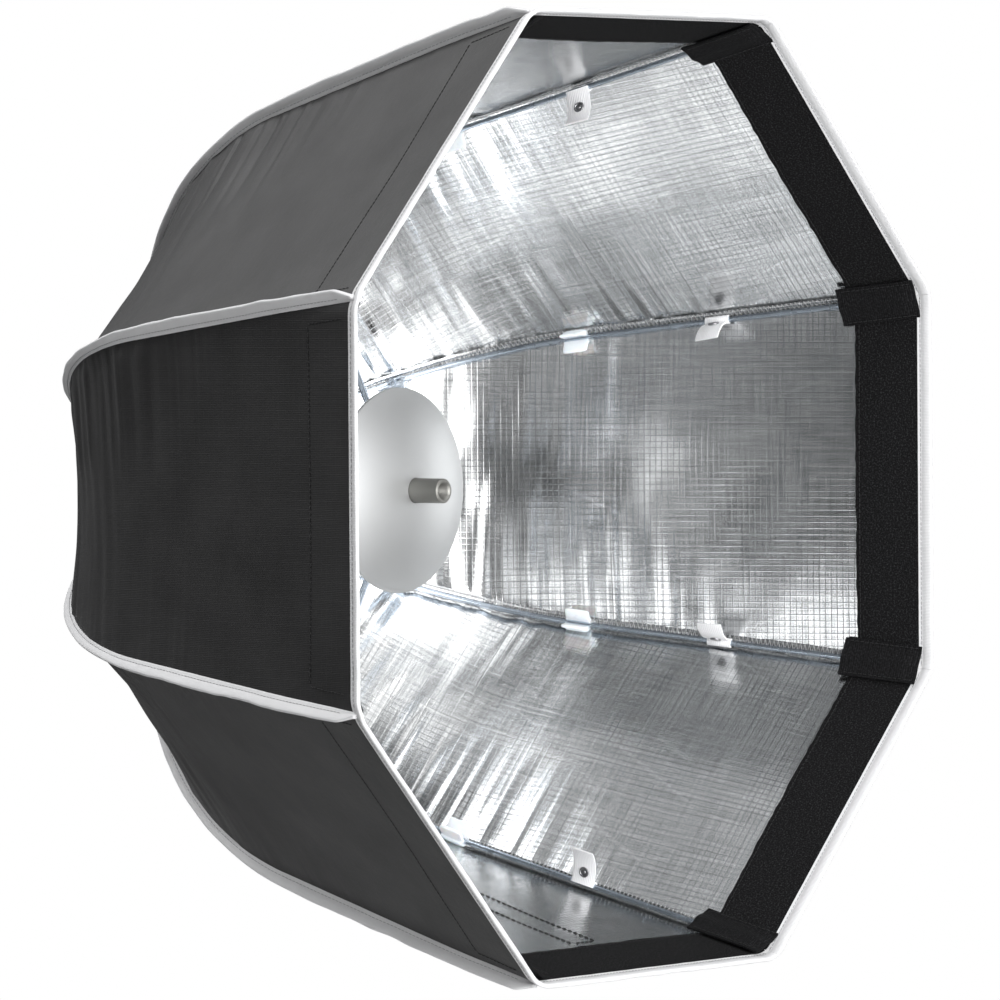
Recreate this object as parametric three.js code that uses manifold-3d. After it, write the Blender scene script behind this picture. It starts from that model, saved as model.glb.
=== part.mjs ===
// Studio softbox: an eight-sided folding light bank, 600 mm across the corners.
// Eight spring-steel ribs are pinned to a speedring. A runner slides on a central guide rod
// and carries eight stretchers and a deflector dish. Pushed back towards the speedring, it
// spreads the ribs and stretches the fabric shell. Drawn forward, it folds them like an umbrella.
//
// Frame: millimetres, +Z up. The origin is the centre of the speedring's rear mating face,
// +Y points back towards the light, and the opening faces -Y.
import * as THREE from "three";
import { mergeVertices } from "three/addons/utils/BufferGeometryUtils.js";
import Module from "manifold-3d";

const wasm = await Module();
wasm.setup();

// --- Driving dimensions -------------------------------------------------------------------

const SIDES = 8;
const HALF_SIDE_ANGLE = Math.PI / SIDES;

// fabric shell, as a line in the plane of one rib
const RIM_RADIUS = 300;
const RIM_Y = -360;
const WALL_ANGLE = THREE.MathUtils.degToRad(16.3);
const WALL_LENGTH = 213.6;
const BEND_RADIUS = 212;
const SHELL_END_RADIUS = 96;
const FABRIC_THICKNESS = 1.2;
const FABRIC_GAP = 0.15;
const BEND_STEPS = 8;

// ribs
const RIB_RADIUS = 1.6;
const RIB_INSET = 5.5;
const RIB_TIP = 10;
const RIB_STEPS = 12;
const RIB_SIDE_STEPS = 3;
const RIB_PIVOT = new THREE.Vector2(75, -11);
const RIB_LEAD = 11;
const RIB_EYE_RADIUS = 4.5;
const RIB_EYE_THICKNESS = 4;
const BRACKET_RADIUS_ON_SHELL = 165;
const BRACKET_REACH = 7;
const BRACKET_RADIUS = 5;
const BRACKET_THICKNESS = 3.4;

// rod pockets at the rim corners
const POCKET_WIDTH = 24;
const POCKET_LENGTH = 54;
const POCKET_START = 1;
const POCKET_FLOOR = 8;
const POCKET_HOLE_RADIUS = 2;
const POCKET_APEX_INSET = 2;
const POCKET_FACE_INSET = 9.6;

// speedring
const RING_RADIUS = 88;
const RING_BORE = 50;
const RING_FRONT_Y = -21;
const RING_REAR_Y = -6;
const SLEEVE_BORE = 44.5;
const SLEEVE_RADIUS = 49;
const SLEEVE_FRONT_Y = -20;
const SLEEVE_REAR_Y = 12;
const FLANGE_RADIUS = 76;
const FLANGE_FRONT_Y = -5.7;
const LUGS = 3;
const FIRST_LUG_ANGLE = Math.PI / 6;
const LUG_REACH = 3.5;
const LUG_WIDTH = 16;
const LUG_DEPTH = 4;
const CLAMP_RADIUS = 97;
const CLAMP_BORE = 76.4;
const CLAMP_REAR_Y = -2.5;
const PIN_RADIUS = 1.5;
const PIN_LENGTH = 16;

// spider and guide rod
const SPIDER_ARMS = 3;
const FIRST_ARM_ANGLE = Math.PI / 6;
const SPIDER_ARM_WIDTH = 6;
const SPIDER_FRONT_Y = -19;
const SPIDER_REAR_Y = -11;
const BOSS_RADIUS = 11;
const ROD_RADIUS = 4;
const ROD_FRONT_Y = -192;
const ROD_REAR_Y = -6;
const ROD_COLLAR_RADIUS = 6.5;
const ROD_COLLAR_LENGTH = 5;
const NUT_RADIUS = 7.5;
const NUT_REAR_Y = -5;

// runner, dish and release catch
const TUBE_RADIUS = 7.3;
const TUBE_BORE = 4.5;
const TUBE_FRONT_Y = -205;
const TUBE_REAR_Y = -60;
const RUNNER_RADIUS = 27;
const RUNNER_FRONT_Y = -161;
const RUNNER_REAR_Y = -149;
const RUNNER_PIVOT = new THREE.Vector2(22, -155);
const WIRE_RADIUS = 0.9;
const WIRE_GAP = 0.4;
const DISH_RADIUS = 61;
const DISH_EDGE_Y = -171.4;
const DISH_APEX_Y = -184;
const DISH_THICKNESS = 1.2;
const DISH_COLLAR_RADIUS = 14;
const DISH_COLLAR_REAR_Y = -174;
const DISH_COLLAR_SET_BACK = 1;
const CATCH_Y = -71;
const CATCH_LENGTH = 32;
const CATCH_WIDTH = 12;
const CATCH_THICKNESS = 4;
const CATCH_TRAVEL = 2.3;
const CATCH_HOUSING = new THREE.Vector3(16, 12, 20);

// stretchers
const STRETCHER_RADIUS = 2;
const STRETCHER_EYE_RADIUS = 4;
const STRETCHER_EYE_THICKNESS = 3.4;
const FORK_REACH = 12;
const FORK_CROWN = 4;
const FORK_CHEEK_THICKNESS = 1.5;
const FORK_CHEEK_RADIUS = 4.5;

// fits
const GAP = 0.3;
const SLOT_GAP = 0.6;
const OVERCUT = 2;
const JOIN = 1;

// facets round small rods and bores, and round the nut
const SMALL_ROUND = 24;
const HEXAGON = 6;

// --- Materials ----------------------------------------------------------------------------

const material = (color, roughness, metalness) =>
  new THREE.MeshStandardMaterial({ color, roughness, metalness });

const blackAluminium = material(0x1b1b1d, 0.5, 0.8);
const satinAluminium = material(0xc2c2c0, 0.35, 1);
const springSteel = material(0x9aa3ad, 0.35, 1);
const brightSteel = material(0xb8babd, 0.3, 1);
const nickel = material(0x8b8a86, 0.35, 1);
const blackPlastic = material(0x151516, 0.6, 0);
const blackNylon = material(0x2e2d2f, 0.85, 0);
const blackWebbing = material(0x17171a, 0.95, 0);

// --- Solids -------------------------------------------------------------------------------

function solid(geometry) {
  const bare = geometry.index ? geometry.clone() : geometry;
  for (const name of Object.keys(bare.attributes)) {
    if (name !== "position") bare.deleteAttribute(name);
  }
  const merged = mergeVertices(bare, 1e-3);
  return new wasm.Manifold(
    new wasm.Mesh({
      numProp: 3,
      vertProperties: new Float32Array(merged.attributes.position.array),
      triVerts: new Uint32Array(merged.index.array),
    }),
  );
}

function geometryOf(manifold) {
  const mesh = manifold.getMesh();
  const geometry = new THREE.BufferGeometry();
  const positions = new THREE.BufferAttribute(new Float32Array(mesh.vertProperties), mesh.numProp);
  geometry.setAttribute("position", positions);
  geometry.setIndex(new THREE.BufferAttribute(new Uint32Array(mesh.triVerts), 1));
  const flat = geometry.toNonIndexed();
  flat.computeVertexNormals();
  return flat;
}

// a disc or rod along Y, from one height to another
function rodAlongY(radius, fromY, toY, segments = 32) {
  const geometry = new THREE.CylinderGeometry(radius, radius, toY - fromY, segments);
  return solid(geometry.translate(0, (fromY + toY) / 2, 0));
}

function tubeAlongY(radius, bore, fromY, toY, segments = 48) {
  const inner = rodAlongY(bore, fromY - OVERCUT, toY + OVERCUT, segments);
  return rodAlongY(radius, fromY, toY, segments).subtract(inner);
}

// a disc across the rib plane, centred on a pivot
function discAcross(radius, thickness, centre, segments = 12) {
  const geometry = new THREE.CylinderGeometry(radius, radius, thickness, segments);
  return solid(geometry.rotateX(Math.PI / 2).translate(centre.x, centre.y, 0));
}

function box(width, depth, height, x, y, z) {
  return solid(new THREE.BoxGeometry(width, depth, height).translate(x, y, z));
}

// a straight bar in the rib plane between two points
function barBetween(from, to, radius, segments = 6) {
  const along = to.clone().sub(from);
  const geometry = new THREE.CylinderGeometry(radius, radius, along.length(), segments);
  geometry.rotateZ(along.angle() - Math.PI / 2);
  return solid(geometry.translate((from.x + to.x) / 2, (from.y + to.y) / 2, 0));
}

// a flat strap in the rib plane between two points
function strapBetween(from, to, width, thickness) {
  const along = to.clone().sub(from);
  const geometry = new THREE.BoxGeometry(along.length(), width, thickness);
  geometry.rotateZ(along.angle());
  return solid(geometry.translate((from.x + to.x) / 2, (from.y + to.y) / 2, 0));
}

function turned(manifold, angle) {
  const matrix = new THREE.Matrix4().makeRotationY(angle);
  return solid(geometryOf(manifold).applyMatrix4(matrix));
}

// --- The shell's line in a rib plane ------------------------------------------------------

// the point at a distance along the shell from the rim, in from it by an inset
function shellPoint(distance, inset = 0) {
  const bent = Math.max(distance - WALL_LENGTH, 0);
  const straight = distance - bent;
  const angle = WALL_ANGLE + bent / BEND_RADIUS;
  const radius =
    RIM_RADIUS -
    straight * Math.sin(WALL_ANGLE) -
    BEND_RADIUS * (Math.cos(WALL_ANGLE) - Math.cos(angle));
  const y =
    RIM_Y +
    straight * Math.cos(WALL_ANGLE) +
    BEND_RADIUS * (Math.sin(angle) - Math.sin(WALL_ANGLE));
  return new THREE.Vector2(radius - inset * Math.cos(angle), y - inset * Math.sin(angle));
}

// how far along the shell its line comes in to a given radius
function shellDistance(radius) {
  const wallEnd = RIM_RADIUS - WALL_LENGTH * Math.sin(WALL_ANGLE);
  const turn = Math.acos(Math.cos(WALL_ANGLE) - (wallEnd - radius) / BEND_RADIUS);
  return WALL_LENGTH + BEND_RADIUS * (turn - WALL_ANGLE);
}

const SHELL_END = shellDistance(SHELL_END_RADIUS);
const BRACKET_DISTANCE = shellDistance(BRACKET_RADIUS_ON_SHELL);
const BRACKET_PIVOT = shellPoint(BRACKET_DISTANCE, RIB_INSET + BRACKET_REACH);

// --- Fabric -------------------------------------------------------------------------------

// half of one side panel, from its rib to the fold line down its middle
function halfPanel(side) {
  const distances = [0, WALL_LENGTH / 2];
  for (let step = 0; step <= BEND_STEPS; step += 1) {
    distances.push(WALL_LENGTH + ((SHELL_END - WALL_LENGTH) * step) / BEND_STEPS);
  }
  const slope = Math.tan(HALF_SIDE_ANGLE);
  const vertices = [];
  for (const distance of distances) {
    const outer = shellPoint(distance);
    const angle = WALL_ANGLE + Math.max(distance - WALL_LENGTH, 0) / BEND_RADIUS;
    const middle = outer.x * Math.cos(HALF_SIDE_ANGLE);
    const inner = new THREE.Vector2(
      middle - FABRIC_THICKNESS * Math.cos(angle),
      outer.y - FABRIC_THICKNESS * Math.sin(angle),
    );
    for (const [x, y] of [
      [middle, outer.y],
      [inner.x, inner.y],
    ]) {
      vertices.push(x, y, side * FABRIC_GAP);
      vertices.push(x, y, side * (x * slope - FABRIC_GAP));
    }
  }
  // each station has four corners: outer fold, outer seam, inner fold, inner seam
  const ring = [0, 1, 3, 2];
  const faces = [];
  const quad = (a, b, c, d) => faces.push(a, b, c, a, c, d);
  const last = 4 * (distances.length - 1);
  for (let station = 0; station < last; station += 4) {
    for (let corner = 0; corner < 4; corner += 1) {
      const here = station + ring[corner];
      const next = station + ring[(corner + 1) % 4];
      quad(here, next, next + 4, here + 4);
    }
  }
  quad(0, 2, 3, 1);
  quad(last, last + 1, last + 3, last + 2);
  if (side > 0) faces.reverse();
  const geometry = new THREE.BufferGeometry();
  geometry.setAttribute("position", new THREE.Float32BufferAttribute(vertices, 3));
  geometry.setIndex(faces);
  const flat = geometry.toNonIndexed();
  flat.computeVertexNormals();
  return flat;
}

// a webbing sleeve in the corner of the rim, with a blind hole for the rib's tip
function rodPocket() {
  const half = POCKET_WIDTH / 2;
  const shoulder = POCKET_APEX_INSET + half * Math.tan(HALF_SIDE_ANGLE);
  const section = new THREE.Shape([
    new THREE.Vector2(POCKET_APEX_INSET, 0),
    new THREE.Vector2(shoulder, -half),
    new THREE.Vector2(POCKET_FACE_INSET, -half),
    new THREE.Vector2(POCKET_FACE_INSET, half),
    new THREE.Vector2(shoulder, half),
  ]);
  const sleeve = new THREE.ExtrudeGeometry(section, { depth: POCKET_LENGTH, bevelEnabled: false });
  const wallUp = new THREE.Vector3(-Math.sin(WALL_ANGLE), Math.cos(WALL_ANGLE), 0);
  const inwards = new THREE.Vector3(-Math.cos(WALL_ANGLE), -Math.sin(WALL_ANGLE), 0);
  const start = shellPoint(POCKET_START);
  const place = new THREE.Matrix4().makeBasis(inwards, new THREE.Vector3(0, 0, 1), wallUp);
  place.setPosition(start.x, start.y, 0);
  sleeve.applyMatrix4(place);
  const hole = barBetween(
    shellPoint(POCKET_FLOOR, RIB_INSET),
    shellPoint(POCKET_START + POCKET_LENGTH + OVERCUT, RIB_INSET),
    POCKET_HOLE_RADIUS,
  );
  return solid(sleeve).subtract(hole);
}

// --- Ribs and stretchers ------------------------------------------------------------------

function rib() {
  const points = [];
  const rodEnd = shellDistance(RIB_PIVOT.x + RIB_LEAD);
  for (let step = 0; step <= RIB_STEPS; step += 1) {
    const distance = RIB_TIP + ((rodEnd - RIB_TIP) * step) / RIB_STEPS;
    const point = shellPoint(distance, RIB_INSET);
    points.push(new THREE.Vector3(point.x, point.y, 0));
  }
  const lead = new THREE.Vector2(points.at(-1).x, points.at(-1).y).sub(RIB_PIVOT).normalize();
  const root = RIB_PIVOT.clone().addScaledVector(lead, RIB_EYE_RADIUS - JOIN);
  points.push(new THREE.Vector3(root.x, root.y, 0));
  const circle = new THREE.Shape().absarc(0, 0, RIB_RADIUS, 0, 2 * Math.PI);
  const rod = new THREE.ExtrudeGeometry(circle, {
    steps: points.length - 1,
    curveSegments: RIB_SIDE_STEPS,
    extrudePath: new THREE.CatmullRomCurve3(points),
  });
  const onRod = shellPoint(BRACKET_DISTANCE, RIB_INSET);
  return solid(rod)
    .add(discAcross(RIB_EYE_RADIUS, RIB_EYE_THICKNESS, RIB_PIVOT))
    .subtract(discAcross(PIN_RADIUS + GAP, 2 * RIB_EYE_THICKNESS, RIB_PIVOT))
    .add(strapBetween(onRod, BRACKET_PIVOT, 2 * BRACKET_RADIUS, BRACKET_THICKNESS))
    .add(discAcross(BRACKET_RADIUS, BRACKET_THICKNESS, BRACKET_PIVOT))
    .subtract(discAcross(PIN_RADIUS + GAP, 2 * BRACKET_THICKNESS, BRACKET_PIVOT));
}

function stretcher() {
  const along = BRACKET_PIVOT.clone().sub(RUNNER_PIVOT).normalize();
  const start = RUNNER_PIVOT.clone().addScaledVector(along, STRETCHER_EYE_RADIUS - JOIN);
  const throat = BRACKET_PIVOT.clone().addScaledVector(along, -FORK_REACH);
  const cheekOuter = BRACKET_THICKNESS + 2 * GAP + 2 * FORK_CHEEK_THICKNESS;
  const slot = BRACKET_THICKNESS + 2 * GAP;
  const crown = throat.clone().addScaledVector(along, -FORK_CROWN);
  const fork = strapBetween(crown, BRACKET_PIVOT, 2 * FORK_CHEEK_RADIUS, cheekOuter)
    .add(discAcross(FORK_CHEEK_RADIUS, cheekOuter, BRACKET_PIVOT))
    .subtract(
      strapBetween(
        throat,
        BRACKET_PIVOT.clone().addScaledVector(along, 3 * FORK_CHEEK_RADIUS),
        4 * FORK_CHEEK_RADIUS,
        slot,
      ),
    )
    .subtract(discAcross(PIN_RADIUS + GAP, 4 * BRACKET_THICKNESS, BRACKET_PIVOT));
  return barBetween(start, throat.clone().addScaledVector(along, -JOIN), STRETCHER_RADIUS)
    .add(discAcross(STRETCHER_EYE_RADIUS, STRETCHER_EYE_THICKNESS, RUNNER_PIVOT))
    .add(fork)
    .subtract(discAcross(WIRE_RADIUS + WIRE_GAP, 2 * STRETCHER_EYE_THICKNESS, RUNNER_PIVOT));
}

// --- Speedring ----------------------------------------------------------------------------

const cornerAngle = (index) => (index + 0.5) * 2 * HALF_SIDE_ANGLE;

function hubRing() {
  let ring = tubeAlongY(RING_RADIUS, RING_BORE, RING_FRONT_Y, RING_REAR_Y);
  const slotFrom = RIB_PIVOT.x - RIB_EYE_RADIUS - SLOT_GAP;
  const slotTo = RING_RADIUS + OVERCUT;
  const slot = box(
    slotTo - slotFrom,
    RING_REAR_Y - RING_FRONT_Y + 2 * OVERCUT,
    RIB_EYE_THICKNESS + SLOT_GAP,
    (slotFrom + slotTo) / 2,
    (RING_FRONT_Y + RING_REAR_Y) / 2,
    0,
  );
  const cut = slot.add(discAcross(PIN_RADIUS + GAP, PIN_LENGTH + 2 * GAP, RIB_PIVOT));
  for (let index = 0; index < SIDES; index += 1) {
    ring = ring.subtract(turned(cut, -cornerAngle(index)));
  }
  return ring;
}

function bayonetSleeve() {
  let sleeve = tubeAlongY(SLEEVE_RADIUS, SLEEVE_BORE, SLEEVE_FRONT_Y, SLEEVE_REAR_Y).add(
    tubeAlongY(FLANGE_RADIUS, SLEEVE_RADIUS - JOIN, FLANGE_FRONT_Y, 0),
  );
  const reach = LUG_REACH + JOIN;
  const lug = box(
    reach,
    LUG_DEPTH,
    LUG_WIDTH,
    SLEEVE_RADIUS - JOIN + reach / 2,
    SLEEVE_REAR_Y - LUG_DEPTH / 2,
    0,
  );
  for (let index = 0; index < LUGS; index += 1) {
    sleeve = sleeve.add(turned(lug, FIRST_LUG_ANGLE + (2 * Math.PI * index) / LUGS));
  }
  return sleeve;
}

function spider() {
  let spiderSolid = rodAlongY(BOSS_RADIUS, SPIDER_FRONT_Y, SPIDER_REAR_Y);
  const armEnd = SLEEVE_BORE - 2 * GAP;
  const arm = box(
    armEnd - BOSS_RADIUS + JOIN,
    SPIDER_REAR_Y - SPIDER_FRONT_Y,
    SPIDER_ARM_WIDTH,
    (armEnd + BOSS_RADIUS - JOIN) / 2,
    (SPIDER_FRONT_Y + SPIDER_REAR_Y) / 2,
    0,
  );
  for (let index = 0; index < SPIDER_ARMS; index += 1) {
    spiderSolid = spiderSolid.add(turned(arm, FIRST_ARM_ANGLE + (2 * Math.PI * index) / SPIDER_ARMS));
  }
  const hole = rodAlongY(ROD_RADIUS + GAP, SPIDER_FRONT_Y - OVERCUT, SPIDER_REAR_Y + OVERCUT);
  return spiderSolid.subtract(hole);
}

function guideRod() {
  const collarRear = SPIDER_FRONT_Y - GAP;
  return rodAlongY(ROD_RADIUS, ROD_FRONT_Y, ROD_REAR_Y, SMALL_ROUND).add(
    rodAlongY(ROD_COLLAR_RADIUS, collarRear - ROD_COLLAR_LENGTH, collarRear, SMALL_ROUND),
  );
}

function rodNut() {
  const hexagon = rodAlongY(NUT_RADIUS, SPIDER_REAR_Y + GAP, NUT_REAR_Y, HEXAGON);
  const hole = rodAlongY(ROD_RADIUS + GAP, SPIDER_REAR_Y, NUT_REAR_Y + OVERCUT, SMALL_ROUND);
  return hexagon.subtract(hole);
}

// --- Runner -------------------------------------------------------------------------------

function centreTube() {
  const bore = rodAlongY(TUBE_BORE, TUBE_FRONT_Y - OVERCUT, TUBE_REAR_Y + OVERCUT, SMALL_ROUND);
  const catchSlot = box(
    CATCH_WIDTH + 2 * GAP,
    CATCH_THICKNESS + 2 * GAP,
    CATCH_HOUSING.z + 2 * OVERCUT,
    0,
    CATCH_Y,
    0,
  );
  return rodAlongY(TUBE_RADIUS, TUBE_FRONT_Y, TUBE_REAR_Y)
    .add(box(CATCH_HOUSING.x, CATCH_HOUSING.y, CATCH_HOUSING.z, 0, CATCH_Y, 0))
    .subtract(bore)
    .subtract(catchSlot);
}

function releaseCatch() {
  const holeRadius = ROD_RADIUS + GAP;
  const holeStretch = CATCH_TRAVEL + GAP;
  const plate = box(CATCH_WIDTH, CATCH_THICKNESS, CATCH_LENGTH, 0, CATCH_Y, 0);
  const hole = box(
    2 * holeRadius,
    2 * CATCH_THICKNESS,
    holeStretch,
    0,
    CATCH_Y,
    holeStretch / 2,
  );
  const end = rodAlongY(holeRadius, CATCH_Y - CATCH_THICKNESS, CATCH_Y + CATCH_THICKNESS, SMALL_ROUND);
  return plate.subtract(hole).subtract(end).subtract(end.translate([0, 0, holeStretch]));
}

function runnerRing() {
  let ring = tubeAlongY(RUNNER_RADIUS, TUBE_RADIUS + GAP, RUNNER_FRONT_Y, RUNNER_REAR_Y, 32);
  const slotFrom = RUNNER_PIVOT.x - STRETCHER_EYE_RADIUS - SLOT_GAP;
  const slotTo = RUNNER_RADIUS + OVERCUT;
  const slot = box(
    slotTo - slotFrom,
    RUNNER_REAR_Y - RUNNER_FRONT_Y + 2 * OVERCUT,
    STRETCHER_EYE_THICKNESS + SLOT_GAP,
    (slotFrom + slotTo) / 2,
    (RUNNER_FRONT_Y + RUNNER_REAR_Y) / 2,
    0,
  );
  for (let index = 0; index < SIDES; index += 1) {
    ring = ring.subtract(turned(slot, -cornerAngle(index)));
  }
  return ring.subtract(wireRing(WIRE_RADIUS + GAP));
}

// the wire that threads the eyes of all eight stretchers
function wireRing(radius) {
  const geometry = new THREE.TorusGeometry(RUNNER_PIVOT.x, radius, 6, 40);
  return solid(geometry.rotateX(Math.PI / 2).translate(0, RUNNER_PIVOT.y, 0));
}

function deflectorDish() {
  const rise = DISH_EDGE_Y - DISH_APEX_Y;
  const sphere = (DISH_RADIUS ** 2 + rise ** 2) / (2 * rise);
  const depth = (radius) => sphere - Math.sqrt(sphere ** 2 - radius ** 2);
  const holeRadius = TUBE_RADIUS + GAP;
  const steps = 4;
  const front = [];
  for (let step = 0; step <= steps; step += 1) {
    const radius = holeRadius + ((DISH_RADIUS - holeRadius) * step) / steps;
    front.push(new THREE.Vector2(radius, DISH_APEX_Y + depth(radius)));
  }
  const back = front.map((point) => new THREE.Vector2(point.x, point.y + DISH_THICKNESS));
  const outline = [...front, ...back.reverse(), front[0]];
  return solid(new THREE.LatheGeometry(outline, 40));
}

function dishCollar() {
  const front = DISH_APEX_Y + DISH_THICKNESS + DISH_COLLAR_SET_BACK;
  return tubeAlongY(DISH_COLLAR_RADIUS, TUBE_RADIUS + GAP, front, DISH_COLLAR_REAR_Y, 32);
}

// --- Assembly -----------------------------------------------------------------------------

const group = new THREE.Group();

function place(name, shape, look, parent = group) {
  const geometry = shape.isBufferGeometry ? shape : geometryOf(shape);
  const mesh = new THREE.Mesh(geometry, look);
  mesh.name = name;
  parent.add(mesh);
}

place("hub_ring", hubRing(), blackAluminium);
place("bayonet_sleeve", bayonetSleeve(), satinAluminium);
place(
  "fabric_clamp_ring",
  tubeAlongY(CLAMP_RADIUS, CLAMP_BORE, FLANGE_FRONT_Y, CLAMP_REAR_Y),
  blackPlastic,
);
place("spider", spider(), blackAluminium);
place("guide_rod", guideRod(), brightSteel);
place("rod_nut", rodNut(), brightSteel);

place("centre_tube", centreTube(), nickel);
place("runner_ring", runnerRing(), blackPlastic);
place("runner_wire", wireRing(WIRE_RADIUS), brightSteel);
place("deflector_dish", deflectorDish(), satinAluminium);
place("dish_collar", dishCollar(), nickel);
place("release_catch", releaseCatch(), blackPlastic);

// the ribs stand at the corners, and each panel lies between its rib and the next
for (let index = 0; index < SIDES; index += 1) {
  const corner = new THREE.Group();
  corner.rotation.y = -cornerAngle(index);
  const number = index + 1;
  place(`hinge_pin_${number}`, discAcross(PIN_RADIUS, PIN_LENGTH, RIB_PIVOT), brightSteel, corner);
  place(`rib_${number}`, rib(), springSteel, corner);
  place(`rod_pocket_${number}`, rodPocket(), blackWebbing, corner);
  place(`stretcher_${number}`, stretcher(), springSteel, corner);

  const side = new THREE.Group();
  side.rotation.y = -cornerAngle(index) - HALF_SIDE_ANGLE;
  place(`panel_${number}_a`, halfPanel(-1), blackNylon, side);
  place(`panel_${number}_b`, halfPanel(1), blackNylon, side);
  group.add(corner, side);
}

export default group;
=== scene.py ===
import math

import bpy
import numpy as np
from mathutils import Matrix, Vector


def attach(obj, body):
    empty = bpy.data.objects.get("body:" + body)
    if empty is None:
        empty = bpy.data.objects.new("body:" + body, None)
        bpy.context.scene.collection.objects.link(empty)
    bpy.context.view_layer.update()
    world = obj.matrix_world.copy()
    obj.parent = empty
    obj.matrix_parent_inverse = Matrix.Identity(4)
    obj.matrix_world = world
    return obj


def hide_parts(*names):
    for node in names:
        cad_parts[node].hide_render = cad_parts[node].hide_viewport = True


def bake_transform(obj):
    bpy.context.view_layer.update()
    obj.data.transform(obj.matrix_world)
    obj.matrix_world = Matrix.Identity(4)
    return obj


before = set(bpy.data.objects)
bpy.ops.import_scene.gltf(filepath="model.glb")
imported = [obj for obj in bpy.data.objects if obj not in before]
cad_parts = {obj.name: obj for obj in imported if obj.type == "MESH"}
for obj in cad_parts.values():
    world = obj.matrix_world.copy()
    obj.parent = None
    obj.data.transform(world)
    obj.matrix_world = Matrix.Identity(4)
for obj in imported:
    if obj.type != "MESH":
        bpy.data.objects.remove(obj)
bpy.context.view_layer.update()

# --- Dimensions, in metres, as in the CAD -------------------------------------------------

SIDES = 8
HALF_SIDE = math.pi / SIDES
COS_HALF, SIN_HALF, TAN_HALF = math.cos(HALF_SIDE), math.sin(HALF_SIDE), math.tan(HALF_SIDE)

RIM_RADIUS = 0.300
RIM_Y = -0.360
WALL_ANGLE = math.radians(16.3)
WALL_LENGTH = 0.2136
BEND_RADIUS = 0.212
CLOTH_END_RADIUS = 0.090
CLOTH_THICKNESS = 0.0009

RIB_RADIUS = 0.0016
RIB_INSET = 0.0055
RIB_TIP = 0.010
RIB_PIVOT = (0.075, -0.011)
RIB_EYE_RADIUS = 0.0045
RIB_EYE_THICKNESS = 0.004
BRACKET_SHELL_RADIUS = 0.165
BRACKET_REACH = 0.007
BRACKET_RADIUS = 0.005
BRACKET_THICKNESS = 0.0034
PIN_HOLE_RADIUS = 0.0018

BAND_DEPTH = 0.046
BAND_THICKNESS = 0.0008
BAND_CLEARANCE = 0.0001
BAND_TUCK = 0.0012
STRAP_PANEL = 6
STRAP_MIDDLE = -0.0055
STRAP_WIDTH = 0.0225
STRAP_START = 0.053
STRAP_END = 0.185
POCKET_WIDTH = 0.024
POCKET_LENGTH = 0.054
CORNER_RADIUS = 0.024
CORNER_FADE = 0.075
RIM_TAPE_REACH = 0.0100
RIM_TAPE_OUTER_LEG = 0.0066
RIM_TAPE_FULLNESS = 0.0027
RIM_TAPE_PROUD = 0.0026
FOLD_STEPS = 9
STITCH_LEVEL = 0.30
STITCH_PITCH = 0.0032
STITCH_SHARE = 0.78
STITCH_CLEARANCE = 0.0001
STITCH_THICKNESS = 0.00022
TAPE_PINCH = 0.18
BAND_STITCH_INSET = 0.0025
SEAM_STITCH_INSET = 0.010
STRAP_STITCH_PITCH = 0.0042
STRAP_STITCH_THICKNESS = 0.0003
FIN_STITCH_PITCH = 0.0031
FIN_STITCH_THICKNESS = 0.0002
FIN_HEIGHT = 0.0090
FIN_THICKNESS = 0.0024
FIN_START = 0.0015
FIN_END_RADIUS = 0.0985
# how far each seam's tape has flopped to one side, in radians, by rib number
FIN_LEAN = {4: -0.62, 5: 0.45, 3: 0.12, 6: -0.1, 1: 0.1, 2: -0.15, 7: 0.2, 8: -0.12}

RUNNER_PIVOT = (0.022, -0.155)
STRETCHER_RADIUS = 0.002
STRETCHER_EYE_RADIUS = 0.004
STRETCHER_EYE_THICKNESS = 0.0034
FORK_REACH = 0.012
FORK_CHEEK_RADIUS = 0.0045
FORK_CHEEK_THICKNESS = 0.0015
FIT_GAP = 0.0003

TUBE_RADIUS = 0.0073
TUBE_BORE = 0.0045
TUBE_FRONT_Y = -0.205
TUBE_REAR_Y = -0.060
CATCH_Y = -0.071
CATCH_SLOT_WIDTH = 0.0126
CATCH_SLOT_DEPTH = 0.0046
HOUSING_SIZE = (0.016, 0.012, 0.020)
DISH_RADIUS = 0.061
DISH_EDGE_Y = -0.1714
DISH_APEX_Y = -0.184
DISH_THICKNESS = 0.0011

Y_AXIS = np.array([0.0, 1.0, 0.0])


def radial(angle):
    """The direction out from the optical axis, which is Y, at an angle about it."""
    return np.array([math.cos(angle), 0.0, math.sin(angle)])


def tangential(angle):
    """The direction round the optical axis at an angle about it."""
    return np.array([-math.sin(angle), 0.0, math.cos(angle)])


def corner_angle(number):
    """The angle of rib number about the optical axis. Panel number lies just after it."""
    return (number - 0.5) * 2 * HALF_SIDE


# --- Smooth random fields -----------------------------------------------------------------

LATTICE_SIZE = 256
LATTICE = np.random.default_rng(7).random((LATTICE_SIZE, LATTICE_SIZE))


def lattice_value(column, row):
    return LATTICE[column % LATTICE_SIZE, row % LATTICE_SIZE]


def noise(x, y, seed):
    """Smooth noise from -1 to 1, one lattice cell per unit."""
    x = np.asarray(x, float) + 37.7 * seed
    y = np.asarray(y, float) + 91.3 * seed
    xi, yi = np.floor(x).astype(int), np.floor(y).astype(int)
    fx, fy = x - xi, y - yi
    fx, fy = fx * fx * (3 - 2 * fx), fy * fy * (3 - 2 * fy)
    low = lattice_value(xi, yi) * (1 - fx) + lattice_value(xi + 1, yi) * fx
    high = lattice_value(xi, yi + 1) * (1 - fx) + lattice_value(xi + 1, yi + 1) * fx
    return 2 * (low * (1 - fy) + high * fy) - 1


def smoothstep(x):
    x = np.clip(x, 0, 1)
    return x * x * (3 - 2 * x)


# --- The shell's line in a rib plane ------------------------------------------------------


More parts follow.
